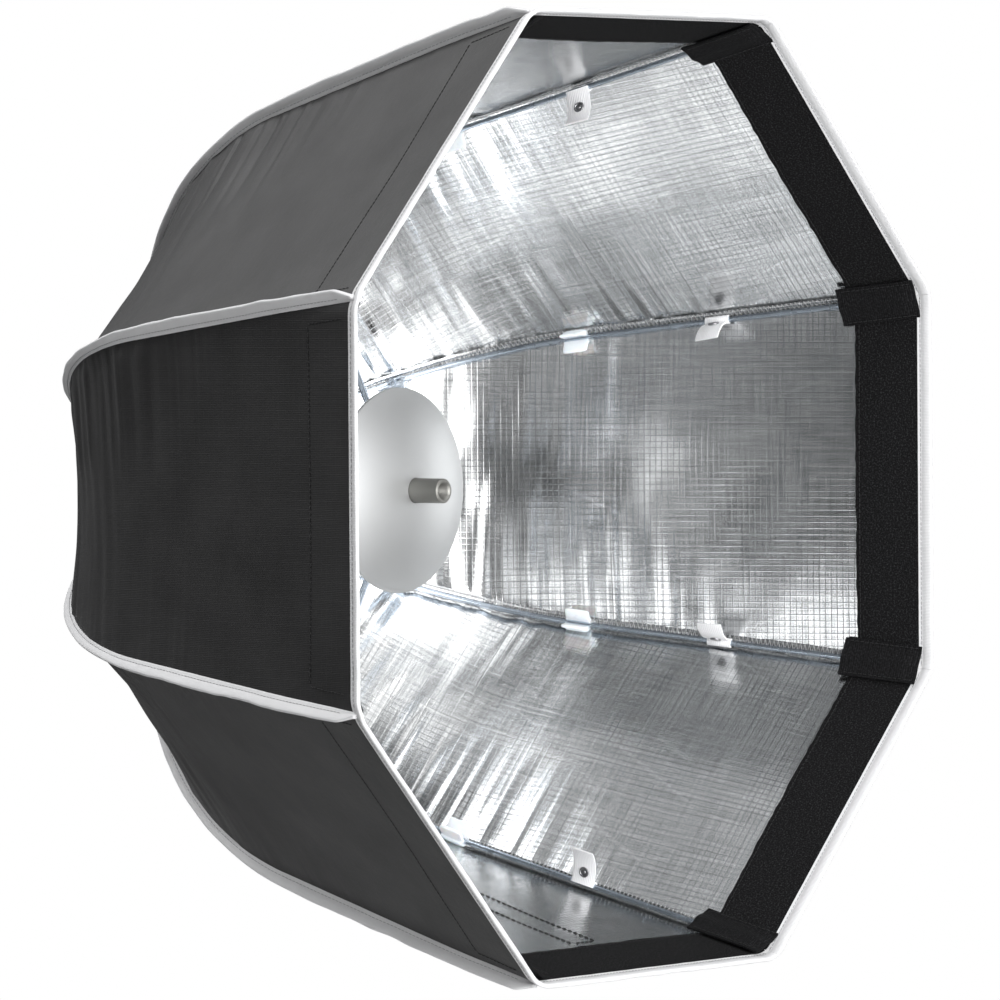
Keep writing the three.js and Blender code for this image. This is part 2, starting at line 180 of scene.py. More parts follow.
def shell_line(distance):
    """(radius, y, wall angle) at a distance along the shell from the rim."""
    distance = np.asarray(distance, float)
    bent = np.maximum(distance - WALL_LENGTH, 0)
    straight = distance - bent
    angle = WALL_ANGLE + bent / BEND_RADIUS
    radius = (
        RIM_RADIUS
        - straight * math.sin(WALL_ANGLE)
        - BEND_RADIUS * (math.cos(WALL_ANGLE) - np.cos(angle))
    )
    y = (
        RIM_Y
        + straight * math.cos(WALL_ANGLE)
        + BEND_RADIUS * (np.sin(angle) - math.sin(WALL_ANGLE))
    )
    return radius, y, angle


def shell_distance(radius):
    """The distance along the shell from the rim to a radius inside the bend."""
    wall_end = RIM_RADIUS - WALL_LENGTH * math.sin(WALL_ANGLE)
    turn = math.acos(math.cos(WALL_ANGLE) - (wall_end - radius) / BEND_RADIUS)
    return WALL_LENGTH + BEND_RADIUS * (turn - WALL_ANGLE)


CLOTH_END = shell_distance(CLOTH_END_RADIUS)


def rib_plane_point(number, distance, inset=0.0):
    """Points in the plane of rib number, inset in from the shell's line."""
    radius, y, angle = (np.atleast_1d(v)[:, None] for v in shell_line(distance))
    at = corner_angle(number)
    inset = np.atleast_1d(inset)[:, None]
    out = (radius - inset * np.cos(angle)) * radial(at)
    return out + (y - inset * np.sin(angle)) * Y_AXIS


def rib_plane_axes(number, distance):
    """(outward normal, along the shell towards the hub, across) for each distance."""
    angle = np.atleast_1d(shell_line(distance)[2])[:, None]
    at = corner_angle(number)
    outward = np.cos(angle) * radial(at) + np.sin(angle) * Y_AXIS
    along = -np.sin(angle) * radial(at) + np.cos(angle) * Y_AXIS
    across = np.repeat(tangential(at)[None], len(angle), axis=0)
    return outward, along, across


# --- How the cloth lies -------------------------------------------------------------------


# how far a gather at a seam may stand out or in
GATHER_LIMIT = 0.0024


def corner_rounding(distance, from_seam):
    """How far the rounded corner lies inside the sharp one, square to the panel."""
    reach = CORNER_RADIUS * SIN_HALF
    turned_in = np.maximum(reach - from_seam, 0)
    inset = CORNER_RADIUS - np.sqrt(CORNER_RADIUS ** 2 - turned_in ** 2)
    return inset * (1 - smoothstep(np.asarray(distance) / CORNER_FADE))


def seam_inset(distance):
    """How far in from the shell's line the seam runs, in the rib plane."""
    return corner_rounding(distance, 0.0) / COS_HALF


def cloth_offset(panel, distance, v):
    """How far the cloth stands out from the flat panel, in metres. v runs from -1 to 1."""
    radius = shell_line(distance)[0]
    width = radius * SIN_HALF
    from_seam = (1 - np.abs(v)) * width
    side = np.where(v < 0, 2 * panel, 2 * panel + 1)
    curved = smoothstep((distance - 0.10) / 0.12)
    ends = smoothstep(distance / 0.05) * smoothstep((CLOTH_END - distance) / 0.05)

    sag = -0.0042 * (1 - v * v) * ends * (0.35 + 0.65 * curved)

    # gathers follow the threads that run across the panel, and die away from the seam
    lean = 0.05 * noise(distance * 11, side * 5.1, 3) * from_seam
    along = distance + lean
    fine = noise(along * 235, side * 3.3 + from_seam * 5, 11)
    middling = noise(along * 96, side * 9.1 + from_seam * 4, 14)
    broad = noise(along * 43, side * 7.7 + from_seam * 3, 12)
    patch = 0.55 + 0.45 * noise(distance * 15, side * 2.9, 13)
    reach = 0.011 + 0.070 * curved * (0.5 + 0.5 * patch)
    gather = np.exp(-((from_seam / reach) ** 1.5))
    # each seam eases the cloth on one side of it on to the other, which stays flatter
    eased = np.where(v < 0, 1.0, 0.22) * smoothstep(np.abs(v) / 0.4)
    strength = (0.16 + 0.84 * curved) * (0.5 + 0.5 * patch) * eased
    beyond_band = smoothstep((distance - BAND_DEPTH) / 0.02)
    crimp = 0.0009 * fine * smoothstep(from_seam / 0.003)
    crimp = crimp + (0.0017 * middling + 0.0007 * broad) * smoothstep(from_seam / 0.012)
    puckers = GATHER_LIMIT * np.tanh(crimp / GATHER_LIMIT) * gather * strength * beyond_band

    # the clamp at the hub draws the cloth into folds across each panel
    near_hub = smoothstep((distance - 0.20) / 0.10) * ends
    rucks = 0.0008 * noise(distance * 120 + v, v * 0.9 + panel * 2.3, 17) * near_hub

    drawn = noise(distance * 60 + v * 2.2, v * 2.6 + panel * 3.7, 21)
    folds = 0.00030 * drawn * (1 - np.exp(-from_seam / 0.02)) * ends * (0.3 + 0.7 * curved)

    slack = 0.0007 * noise(distance * 17, v * 2.4 + panel * 1.9, 31) * ends * (1 - v * v)
    return sag + puckers + rucks + folds + slack - corner_rounding(distance, from_seam)


def panel_point(panel, distance, v, inset=0.0):
    """Points on side panel number panel. inset goes in from the cloth's outer face."""
    distance, v = np.broadcast_arrays(np.asarray(distance, float), np.asarray(v, float))
    radius, y, angle = shell_line(distance)
    lean = np.hypot(np.cos(angle), COS_HALF * np.sin(angle))
    out_radial, out_y = np.cos(angle) / lean, COS_HALF * np.sin(angle) / lean
    stand = cloth_offset(panel, distance, v) - inset
    apothem = radius * COS_HALF + stand * out_radial
    middle = corner_angle(panel) + HALF_SIDE
    return (
        apothem[..., None] * radial(middle)
        + (y + stand * out_y)[..., None] * Y_AXIS
        + (v * apothem * TAN_HALF)[..., None] * tangential(middle)
    )


def panel_normal(panel, distance, v):
    """The outward normals there, from neighbouring points of the whole panel."""
    step = 0.0006
    width = np.maximum(shell_line(distance)[0] * SIN_HALF, 0.01)
    low, high = np.maximum(v - step / width, -1), np.minimum(v + step / width, 1)
    across = panel_point(panel, distance, high) - panel_point(panel, distance, low)
    along = panel_point(panel, distance + step, v) - panel_point(panel, distance - step, v)
    normal = np.cross(along, across)
    return normal / np.linalg.norm(normal, axis=-1, keepdims=True)


# --- Mesh making --------------------------------------------------------------------------


def make(name, vertices, faces, materials, uvs, face_slots=None, smooth=True):
    mesh = bpy.data.meshes.new(name)
    mesh.from_pydata(np.asarray(vertices, float).tolist(), [], faces)
    for material in materials if isinstance(materials, (list, tuple)) else [materials]:
        mesh.materials.append(material)
    if face_slots is not None:
        mesh.polygons.foreach_set("material_index", np.asarray(face_slots, np.int32))
    mesh.polygons.foreach_set("use_smooth", np.full(len(mesh.polygons), smooth))
    corners = np.empty(len(mesh.loops), np.int32)
    mesh.loops.foreach_get("vertex_index", corners)
    layer = mesh.uv_layers.new(name="Cloth")
    layer.data.foreach_set("uv", np.asarray(uvs, np.float32)[corners].ravel())
    mesh.validate()
    mesh.update()
    shape = bpy.data.objects.new(name, mesh)
    bpy.context.scene.collection.objects.link(shape)
    return shape


def ring_faces(stations, corners, base=0, closed=False):
    """Quads between stations of a swept section, wound outwards, with end caps unless closed."""
    faces = []
    for i in range(stations if closed else stations - 1):
        here, there = base + i * corners, base + ((i + 1) % stations) * corners
        for j in range(corners):
            k = (j + 1) % corners
            faces.append((here + j, here + k, there + k, there + j))
    if not closed:
        faces.append(tuple(base + j for j in reversed(range(corners))))
        faces.append(tuple(base + (stations - 1) * corners + j for j in range(corners)))
    return faces


def circle(corners):
    """A circle of radius 1 as (across, up) points."""
    turn = np.linspace(0, 2 * math.pi, corners, endpoint=False)
    return np.stack([np.cos(turn), np.sin(turn)], axis=1)


class Solid:
    """Several closed bodies gathered into one mesh."""

    def __init__(self):
        self.vertices, self.faces, self.uvs = [], [], []

    def sweep(self, points, side, up, section):
        """A section swept along points. side and up are the section's axes at each point."""
        points = np.atleast_2d(points)
        n = len(points)
        section = np.asarray(section, float)
        if section.ndim == 2:
            section = np.repeat(section[None], n, axis=0)
        side, up = (np.broadcast_to(a, (n, 3)) for a in (side, up))
        grid = points[:, None] + section[..., :1] * side[:, None] + section[..., 1:] * up[:, None]
        corners = section.shape[1]
        faces = ring_faces(n, corners, len(self.vertices))
        forward = points[min(1, n - 1)] - points[0]
        area = np.cross(section[0], np.roll(section[0], -1, axis=0)).sum()
        if np.dot(np.cross(side[0], up[0]), forward) * area < 0:
            faces = [f[::-1] for f in faces]
        length = np.concatenate([[0], np.cumsum(np.linalg.norm(np.diff(points, axis=0), axis=1))])
        edge = np.linalg.norm(np.diff(section[0], axis=0), axis=1)
        girth = np.concatenate([[0], np.cumsum(edge)])
        self.vertices += grid.reshape(-1, 3).tolist()
        self.faces += faces
        self.uvs += [(g, l) for l in length for g in girth]
        return self

    def tube(self, points, radius, sides):
        """A round tube along points, with radius one number or one for each point."""
        points = np.asarray(points, float)
        tangents = np.gradient(points, axis=0)
        tangents /= np.linalg.norm(tangents, axis=1, keepdims=True)
        guide = np.eye(3)[np.argmin(np.abs(tangents).max(axis=0))]
        side = np.cross(tangents, guide)
        side /= np.linalg.norm(side, axis=1, keepdims=True)
        up = np.cross(tangents, side)
        radii = np.broadcast_to(np.asarray(radius, float), (len(points),))
        return self.sweep(points, side, up, radii[:, None, None] * circle(sides))

    def lathe(self, profile, centre=(0, 0, 0), axis=(0, 1, 0), segments=96):
        """A closed profile of (radius, height) turned about an axis."""
        profile = np.asarray(profile, float)
        axis = np.asarray(axis, float) / np.linalg.norm(axis)
        guide = np.eye(3)[np.argmin(np.abs(axis))]
        first = np.cross(axis, guide)
        first /= np.linalg.norm(first)
        second = np.cross(axis, first)
        turn = np.linspace(0, 2 * math.pi, segments, endpoint=False)
        base = len(self.vertices)
        count = len(profile)
        out = np.cos(turn)[:, None] * first + np.sin(turn)[:, None] * second
        grid = (
            np.asarray(centre, float)
            + profile[None, :, :1] * out[:, None]
            + profile[None, :, 1:] * axis
        )
        edge = np.linalg.norm(np.diff(profile, axis=0), axis=1)
        girth = np.concatenate([[0], np.cumsum(edge)])
        self.vertices += grid.reshape(-1, 3).tolist()
        self.uvs += [(a * profile[:, 0].max(), g) for a in turn for g in girth]
        faces = []
        for i in range(segments):
            here, there = base + i * count, base + ((i + 1) % segments) * count
            for j in range(count):
                k = (j + 1) % count
                faces.append((here + j, here + k, there + k, there + j))
        if np.cross(profile, np.roll(profile, -1, axis=0)).sum() > 0:
            faces = [f[::-1] for f in faces]
        self.faces += faces
        return self

    def object(self, name, material, smooth=True):
        return make(name, self.vertices, self.faces, material, self.uvs, smooth=smooth)


def rounded_box(width, height, radius, steps):
    """A rounded rectangle's outline, anticlockwise, about its centre."""
    outline = []
    for quarter in range(4):
        sx, sy = ((1, 1), (-1, 1), (-1, -1), (1, -1))[quarter]
        cx, cy = sx * (width / 2 - radius), sy * (height / 2 - radius)
        for step in range(steps + 1):
            a = (quarter + step / steps) * math.pi / 2
            outline.append((cx + radius * math.cos(a), cy + radius * math.sin(a)))
    return np.array(outline)


def sharpen(shape, angle=35):
    """Keeps smooth shading, but breaks it at edges sharper than the angle."""
    shape.data.set_sharp_from_angle(angle=math.radians(angle))
    return shape


def fix(piece, body, slot, *replaced):
    """The piece moves with a body and may stand for CAD nodes, which are hidden. Its slot is not used.
    """
    if replaced:
        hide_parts(*replaced)
    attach(piece, body)


# --- Materials ----------------------------------------------------------------------------


class Look:
    """A material on one Principled shader, with short helpers for its nodes."""

    def __init__(self, name, color, roughness, metallic=0.0, **sockets):
        self.material = bpy.data.materials.new(name)
        self.material.use_nodes = True
        self.tree = self.material.node_tree
        self.shader = self.tree.nodes["Principled BSDF"]
        self.set(self.shader, "Base Color", (*color, 1))
        self.set(self.shader, "Roughness", roughness)
        self.set(self.shader, "Metallic", metallic)
        for socket, value in sockets.items():
            self.set(self.shader, socket, value)
        self.height = None

    def set(self, node, socket, value):
        target = node.inputs[socket]
        if isinstance(value, bpy.types.NodeSocket):
            self.tree.links.new(value, target)
        else:
            target.default_value = value

    def color(self, value):
        self.set(self.shader, "Base Color", value)

    def roughness(self, value):
        self.set(self.shader, "Roughness", value)

    def node(self, kind, inputs=None, **properties):
        made = self.tree.nodes.new("ShaderNode" + kind)
        for key, value in properties.items():
            setattr(made, key, value)
        for socket, value in (inputs or {}).items():
            self.set(made, socket, value)
        return made

    def math(self, operation, a, b=0.0):
        return self.node("Math", {0: a, 1: b}, operation=operation).outputs[0]

    def coordinates(self, source="UV", stretch=(1, 1, 1), turn=0.0):
        """Texture coordinates turned about Z, then drawn out by stretch along each axis."""
        where = self.node("TexCoord").outputs[source]
        values = {"Vector": where, "Scale": stretch, "Rotation": (0, 0, turn)}
        return self.node("Mapping", values, vector_type="TEXTURE").outputs[0]

    def noise(self, where, scale, detail, roughness=0.55):
        values = {"Vector": where, "Scale": scale, "Detail": detail, "Roughness": roughness}
        return self.node("TexNoise", values).outputs[0]

    def wave(self, where, pitch, direction, distortion=0.0):
        """Bands that repeat every pitch metres. A wave of scale 1 repeats every pi/10 units."""
        values = {"Vector": where, "Scale": math.pi / 10 / pitch, "Distortion": distortion}
        made = self.node("TexWave", values, wave_type="BANDS", wave_profile="SIN")
        made.bands_direction = direction
        return made.outputs[1]

    def ramp(self, value, low, high, start=0.0, end=1.0):
        made = self.node(
            "MapRange",
            {"Value": value, "From Min": low, "From Max": high, "To Min": start, "To Max": end},
        )
        return made.outputs[0]

    def mix(self, factor, first, second):
        made = self.node("Mix", {0: factor}, data_type="RGBA")
        self.set(made, 6, (*first, 1) if isinstance(first, tuple) else first)
        self.set(made, 7, (*second, 1) if isinstance(second, tuple) else second)
        return made.outputs[2]

    def bump(self, height, depth, strength=1.0):
        """Adds relief of that depth in metres."""
        values = {"Height": height, "Distance": depth, "Strength": strength}
        if self.height is not None:
            values["Normal"] = self.height
        self.height = self.node("Bump", values).outputs[0]
        self.set(self.shader, "Normal", self.height)


def grid_lines(look, where, pitch, sharpness):
    """Thin lines of a square grid, 1 on a line and 0 between. where is in metres."""
    lines = None
    for direction in ("X", "Y"):
        band = look.math("POWER", look.wave(where, pitch, direction), sharpness)
        lines = band if lines is None else look.math("MAXIMUM", lines, band)
    return lines


def outer_nylon():
    sockets = {"Sheen Weight": 0.08, "Sheen Roughness": 0.4, "Specular IOR Level": 0.4}
    look = Look("black_ripstop_nylon", (0.0105, 0.0102, 0.0105), 0.58, **sockets)
    where = look.coordinates()
    grid = grid_lines(look, where, 0.0050, 24.0)
    cloudy = look.noise(where, 22.0, 4.0)
    base = look.mix(look.ramp(cloudy, 0.3, 0.7), (0.0085, 0.0082, 0.0085), (0.0122, 0.0118, 0.0122))
    worn = look.mix(look.math("MULTIPLY", grid, 0.15), base, (0.018, 0.0177, 0.018))
    look.color(worn)
    look.roughness(look.ramp(cloudy, 0.3, 0.7, 0.52, 0.64))
    threads = look.math(
        "ADD",
        look.wave(where, 0.0010, "X", 0.4),
        look.wave(where, 0.0010, "Y", 0.4),
    )
    look.bump(threads, 0.00004)
    look.bump(grid, 0.00002)
    look.bump(look.noise(where, 150.0, 4.0), 0.0003, 0.5)
    return look.material


def silver_lining():
    """Coated cloth: close to a mirror, drawn into fine streaks both ways by its threads."""
    look = Look("silver_coated_cloth", (0.70, 0.71, 0.715), 0.195, 1.0)
    where = look.coordinates()
    grid = grid_lines(look, where, 0.0038, 20.0)
    cloudy = look.noise(where, 26.0, 4.0)
    across = look.noise(look.coordinates(stretch=(26, 1, 1)), 560.0, 2.0)
    along = look.noise(look.coordinates(stretch=(1, 26, 1)), 560.0, 2.0)
    threads = look.math("MULTIPLY", look.math("ADD", across, along), 0.5)
    tint = look.mix(look.ramp(threads, 0.38, 0.62), (0.58, 0.59, 0.597), (0.82, 0.827, 0.83))
    # painted highlights: faint lighter lines, a little askew, stand for creases left by folding
    # catching the light
    for turn in (0.30, -0.42):
        painted_crease_highlight = look.noise(look.coordinates(stretch=(1, 30, 1), turn=turn), 240.0, 1.0)
        tint = look.mix(look.ramp(painted_crease_highlight, 0.66, 0.76, 0.0, 0.45), tint, (0.93, 0.935, 0.94))
    lined = look.mix(look.math("MULTIPLY", grid, 0.36), tint, (0.34, 0.35, 0.36))
    look.color(lined)
    look.roughness(look.ramp(cloudy, 0.3, 0.7, 0.165, 0.225))
    look.bump(threads, 0.000035)
    look.bump(grid, 0.00003)
    return look.material


def grey_tape():
    look = Look("pale_grey_binding_tape", (0.68, 0.68, 0.685), 0.7)
    where = look.coordinates()
    ribs = look.wave(where, 0.0009, "Y", 0.4)
    tint = look.mix(look.noise(where, 120.0, 4.0), (0.635, 0.635, 0.645), (0.72, 0.72, 0.725))
    look.color(tint)
    look.bump(ribs, 0.00008)
    look.bump(look.noise(where, 700.0, 2.0), 0.00012, 0.6)
    return look.material


def loop_felt():
    look = Look("black_loop_fabric", (0.008, 0.008, 0.0083), 0.95, **{"Specular IOR Level": 0.12})
    where = look.coordinates()
    fuzz = look.noise(where, 900.0, 4.0, 0.75)
    specks = look.ramp(fuzz, 0.50, 0.70)
    tint = look.mix(specks, (0.0045, 0.0045, 0.0048), (0.042, 0.042, 0.044))
    look.color(tint)
    look.bump(fuzz, 0.0007, 0.9)
    look.bump(look.noise(where, 260.0, 3.0), 0.0006, 0.5)
    return look.material


def webbing():
    look = Look("black_webbing", (0.006, 0.006, 0.0063), 0.92, **{"Specular IOR Level": 0.15})
    where = look.coordinates()
    ribs = look.wave(where, 0.0014, "Y", 0.3)
    fuzz = look.noise(where, 700.0, 4.0, 0.7)
    # the fuzz specks vary at random; making them lighter on the raised ribs than in the grooves is
    # painted highlight
    painted_rib_highlight = look.ramp(ribs, 0.0, 1.0, 0.5, 1.0)
    specks = look.math("MULTIPLY", look.ramp(fuzz, 0.45, 0.72), painted_rib_highlight)
    tint = look.mix(specks, (0.0035, 0.0035, 0.0038), (0.026, 0.026, 0.028))
    look.color(tint)
    look.bump(ribs, 0.0002)
    look.bump(fuzz, 0.0005, 0.8)
    return look.material


def thread(name, color, sheen=0.3):
    look = Look(name, color, 0.7, **{"Sheen Weight": sheen})
    where = look.coordinates()
    look.bump(look.wave(where, 0.0004, "Y", 0.5), 0.00008)
    return look.material


def elastic():
    look = Look("white_elastic", (0.92, 0.92, 0.93), 0.65, **{"Sheen Weight": 0.2})
    where = look.coordinates()
    ribs = look.wave(where, 0.0012, "X")
    # painted shade: the colour is darker in the grooves between the ribs and lighter on their tops
    look.color(look.mix(ribs, (0.84, 0.84, 0.86), (0.95, 0.95, 0.96)))
    look.bump(ribs, 0.0002)
    look.bump(look.noise(where, 1200.0, 2.0), 0.0001, 0.6)
    return look.material


def metal(name, color, roughness, drawn=(1, 1, 1), scale=300.0, depth=0.00003, spread=0.08):
    """Bare metal with fine marks, drawn out along each axis by so many times."""
    look = Look(name, color, roughness, 1.0)
    where = look.coordinates("Object", drawn)
    marks = look.noise(where, scale, 4.0, 0.6)
    worn = look.noise(look.coordinates("Object"), 60.0, 3.0)
    look.roughness(look.ramp(worn, 0.3, 0.7, roughness - spread, roughness + spread))
    darker = tuple(0.94 * c for c in color)
    look.color(look.mix(worn, darker, color))
    look.bump(marks, depth)
    return look.material


def spun_aluminium():
    look = Look("spun_aluminium", (0.55, 0.558, 0.562), 0.50, 1.0)
    around = look.coordinates("Object")
    parts = look.node("SeparateXYZ", {0: around})
    squares = look.math(
        "ADD",
        look.math("POWER", parts.outputs[0], 2.0),
        look.math("POWER", parts.outputs[2], 2.0),
    )
    radius = look.node("CombineXYZ", {0: look.math("SQRT", squares)}).outputs[0]
    rings = look.noise(radius, 1500.0, 3.0, 0.7)
    grain = look.noise(around, 1800.0, 2.0)
    look.roughness(look.ramp(rings, 0.2, 0.8, 0.49, 0.56))
    look.bump(rings, 0.00001)
    look.bump(grain, 0.00004, 0.6)
    return look.material


def plastic(name, color, roughness, grain=1400.0, depth=0.00005, **sockets):
    look = Look(name, color, roughness, **sockets)
    where = look.coordinates("Object")
    mottled = look.noise(where, 90.0, 3.0)
    look.roughness(look.ramp(mottled, 0.3, 0.7, roughness - 0.06, roughness + 0.06))
    lighter = tuple(min(1.0, 1.15 * c + 0.002) for c in color)
    look.color(look.mix(mottled, color, lighter))
    look.bump(look.noise(where, grain, 2.0), depth, 0.7)
    return look.material


NYLON, LINING, TAPE = outer_nylon(), silver_lining(), grey_tape()
FELT, WEBBING, ELASTIC = loop_felt(), webbing(), elastic()
DARK_THREAD = thread("black_thread", (0.0035, 0.0035, 0.004), 0.02)
GREY_THREAD = thread("grey_thread", (0.34, 0.34, 0.35))
SILVER_THREAD = thread("pale_thread", (0.62, 0.62, 0.63))
SPRING_STEEL = metal("blued_spring_steel", (0.50, 0.56, 0.63), 0.24, (1, 7, 1), 500.0)
BRIGHT_STEEL = metal("zinc_plated_steel", (0.72, 0.73, 0.74), 0.30)
NICKEL = metal("drawn_nickel", (0.30, 0.297, 0.278), 0.50, (1, 25, 1), 1500.0, 0.00008)
SATIN = metal("satin_aluminium", (0.74, 0.74, 0.735), 0.36, (5, 1, 5), 900.0, spread=0.025)
STUD_METAL = metal("burnished_stud", (0.30, 0.30, 0.31), 0.35)
DISH_METAL = spun_aluminium()
ANODISED = plastic("black_anodised", (0.014, 0.014, 0.015), 0.42, 2200.0, 0.00003, metallic=0.6)
BLACK_PLASTIC = plastic("black_moulded_plastic", (0.012, 0.012, 0.013), 0.5)
CLIP_PLASTIC = plastic(
    "white_clip_plastic", (0.93, 0.94, 0.96), 0.32, 600.0, 0.00002, **{"Subsurface Weight": 0.25}
)

# --- Cloth --------------------------------------------------------------------------------

ROWS = 220
COLUMNS = 26
ROW_BUNCHING = 0.06
COLUMN_BUNCHING = 1.35
WEAVE_SHIFT = 0.2
BAND_SPAN = 0.995


def cloth_rows():
    """Distances along the shell, closer together where the cloth turns in."""
    even = np.linspace(0, 1, ROWS)
    return CLOTH_END * (even - ROW_BUNCHING * np.sin(2 * math.pi * even) / (2 * math.pi))


def half_columns(side):
    """v across a half panel, from its fold line to its seam, closer together at the seam."""
    even = np.linspace(0, 1, COLUMNS)
    return side * (1 - (1 - even) ** COLUMN_BUNCHING)


def cloth_vertex(row, column):
    return row * COLUMNS + column


def owner(panel, side):
    """(half's letter, the rib that it is sewn along)."""
    return ("a", panel) if side < 0 else ("b", panel % SIDES + 1)


def blend_half(piece):
    """The half's placement is baked into its mesh."""
    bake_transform(piece)


def half_cloth(panel, side):
    """Half a side panel: nylon outside, silver lining inside, and nylon round the edge."""
    half, rib = owner(panel, side)
    d, v = np.meshgrid(cloth_rows(), half_columns(side), indexing="ij")
    outer = panel_point(panel, d, v).reshape(-1, 3)
    inner = panel_point(panel, d, v, inset=CLOTH_THICKNESS).reshape(-1, 3)
    count = ROWS * COLUMNS
    width = v * shell_line(d)[0] * SIN_HALF
    # the weave runs square to the panel's middle line, and its threads start at the rim
    uv = np.stack([width.ravel() + WEAVE_SHIFT * panel, d.ravel()], axis=1)
    faces, slots = [], []
    for i in range(ROWS - 1):
        for j in range(COLUMNS - 1):
            round_about = ((i, j), (i + 1, j), (i + 1, j + 1), (i, j + 1))
            quad = tuple(cloth_vertex(*corner) for corner in round_about)
            faces.append(quad if side > 0 else quad[::-1])
            under = tuple(count + q for q in quad)
            faces.append(under[::-1] if side > 0 else under)
            slots += [0, 1]
    border = [cloth_vertex(i, 0) for i in range(ROWS)]
    border += [cloth_vertex(ROWS - 1, j) for j in range(1, COLUMNS)]
    border += [cloth_vertex(i, COLUMNS - 1) for i in range(ROWS - 2, -1, -1)]
    border += [cloth_vertex(0, j) for j in range(COLUMNS - 2, 0, -1)]
    for a, b in zip(border, border[1:] + border[:1]):
        edge = (b, a, a + count, b + count)
        faces.append(edge if side > 0 else edge[::-1])
        slots.append(0)
    piece = make(
        f"panel_cloth_{panel}_{half}",
        np.concatenate([outer, inner]),
        faces,
        [NYLON, LINING],
        np.concatenate([uv, uv]),
        slots,
    )
    normals = panel_normal(panel, d, v).reshape(-1, 3)
    piece.data.normals_split_custom_set_from_vertices(
        np.concatenate([normals, -normals]).astype(np.float32)
    )
    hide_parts(f"panel_{panel}_{half}")
    blend_half(piece)


def half_band(panel, side):
    """The black loop fabric inside the rim."""
    half = owner(panel, side)[0]
    v = np.linspace(0, BAND_SPAN, 40) * side
    under_tape = RIM_TAPE_REACH - RIM_TAPE_PROUD - BAND_TUCK
    depths = np.linspace(under_tape, BAND_DEPTH, 12)
    wavy = 0.0006 * noise(v * 24 + panel * 5, 3, 41)
    rows = [*depths[:-1], depths[-1] + wavy]
    top, under = CLOTH_THICKNESS + BAND_THICKNESS, CLOTH_THICKNESS + BAND_CLEARANCE
    grid = [panel_point(panel, d, v, inset=top) for d in rows]
    grid += [panel_point(panel, d, v, inset=under) for d in rows[::-1]]
    vertices = np.array(grid).transpose(1, 0, 2).reshape(-1, 3)
    faces = ring_faces(len(v), len(grid))
    if side > 0:
        faces = [f[::-1] for f in faces]
    along = v * RIM_RADIUS * SIN_HALF
    across = np.concatenate([depths, depths[::-1] + 0.1])
    uv = [(x, y) for x in along for y in across]
    piece = make(f"loop_band_{panel}_{half}", vertices, faces, FELT, uv)
    sharpen(piece, 50)
    blend_half(piece)


def folded_tape(reach, fullness, outer_leg=None):
    """Folded tape in section, as (across its faces, out from the sewn edge): two legs that
    flare at their edges, pinched by the stitches, with a fuller fold beyond."""
    levels = [0.0, 0.05, 0.18, 0.30, 0.40, 0.52, 0.64, 0.76]
    widths = [0.62, 0.72, 0.66, 0.36, 0.62, 0.88, 1.0, 1.0]
    half = fullness / 2
    outer_leg = outer_leg or reach
    side = [(half * w, reach - outer_leg * (1 - level)) for w, level in zip(widths, levels)]
    top = reach - 0.8 * half
    for step in range(1, FOLD_STEPS):
        a = math.pi * step / FOLD_STEPS
        side.append((half * math.cos(a), top + 0.8 * half * math.sin(a)))
    side += [(-half * w, reach * level) for w, level in zip(widths[::-1], levels[::-1])]
    return np.array(side)


def half_rim_binding(panel, side):
    """Tape folded over the panel's front edge, a little wavy along its length."""
    half = owner(panel, side)[0]
    v = np.linspace(0, 1, 90) * side
    d = np.full_like(v, RIM_TAPE_REACH - RIM_TAPE_PROUD)
    points = panel_point(panel, d, v, inset=CLOTH_THICKNESS / 2)
    normals = panel_normal(panel, np.zeros_like(v), v)
    down = panel_point(panel, d - 0.004, v) - panel_point(panel, d, v)
    down /= np.linalg.norm(down, axis=1, keepdims=True)
    section = folded_tape(RIM_TAPE_REACH, RIM_TAPE_FULLNESS, RIM_TAPE_OUTER_LEG)
    section = np.repeat(section[None], len(v), axis=0)
    across = v * RIM_RADIUS * SIN_HALF
    section[..., 0] *= (1 + 0.10 * noise(across * 110, panel, 52))[:, None]
    level = section[..., 1] / RIM_TAPE_REACH
    sway = 0.0002 * noise(across * 75, panel, 53)
    section[..., 0] += sway[:, None] * level
    section[..., 1] += (0.0002 * noise(across * 60, panel, 51))[:, None] * level
    piece = Solid().sweep(points, normals, down, section).object(
        f"rim_binding_{panel}_{half}", TAPE
    )
    sharpen(piece, 60)
    blend_half(piece)


def stitches(solid, starts, ends, lifts, thickness=STITCH_THICKNESS):
    """Short sewn stitches, each a thread that rises a little between two needle holes."""
    for start, end, lift in zip(starts, ends, lifts):
        along = end - start
        length = np.linalg.norm(along)
        along = along / length
        side = np.cross(along, lift)
        side /= np.linalg.norm(side)
        share = np.array([0.0, 0.18, 0.5, 0.82, 1.0])
        rise = np.array([-0.3, 0.7, 1.0, 0.7, -0.3]) * thickness
        size = np.array([0.5, 1.0, 1.1, 1.0, 0.5]) * thickness
        points = start + share[:, None] * along * length + rise[:, None] * lift
        solid.sweep(points, side, lift, size[:, None, None] * circle(6))
    return solid


def rows_between(places, known, rows):
    """Points or directions at places, from rows of them at known places."""
    return np.stack([np.interp(places, known, rows[:, axis]) for axis in range(3)], axis=1)


def run_of_stitches(path, lifts, pitch=STITCH_PITCH):
    """Starts, ends and lifts of stitches spaced along a path of points."""
    steps = np.linalg.norm(np.diff(path, axis=0), axis=1)
    length = np.concatenate([[0], np.cumsum(steps)])
    count = max(int(length[-1] / pitch), 1)
    marks = (np.arange(count) + 0.1) * pitch
    lift = rows_between(marks, length, lifts)
    lift /= np.linalg.norm(lift, axis=1, keepdims=True)
    starts = rows_between(marks, length, path)
    return starts, rows_between(marks + STITCH_SHARE * pitch, length, path), lift


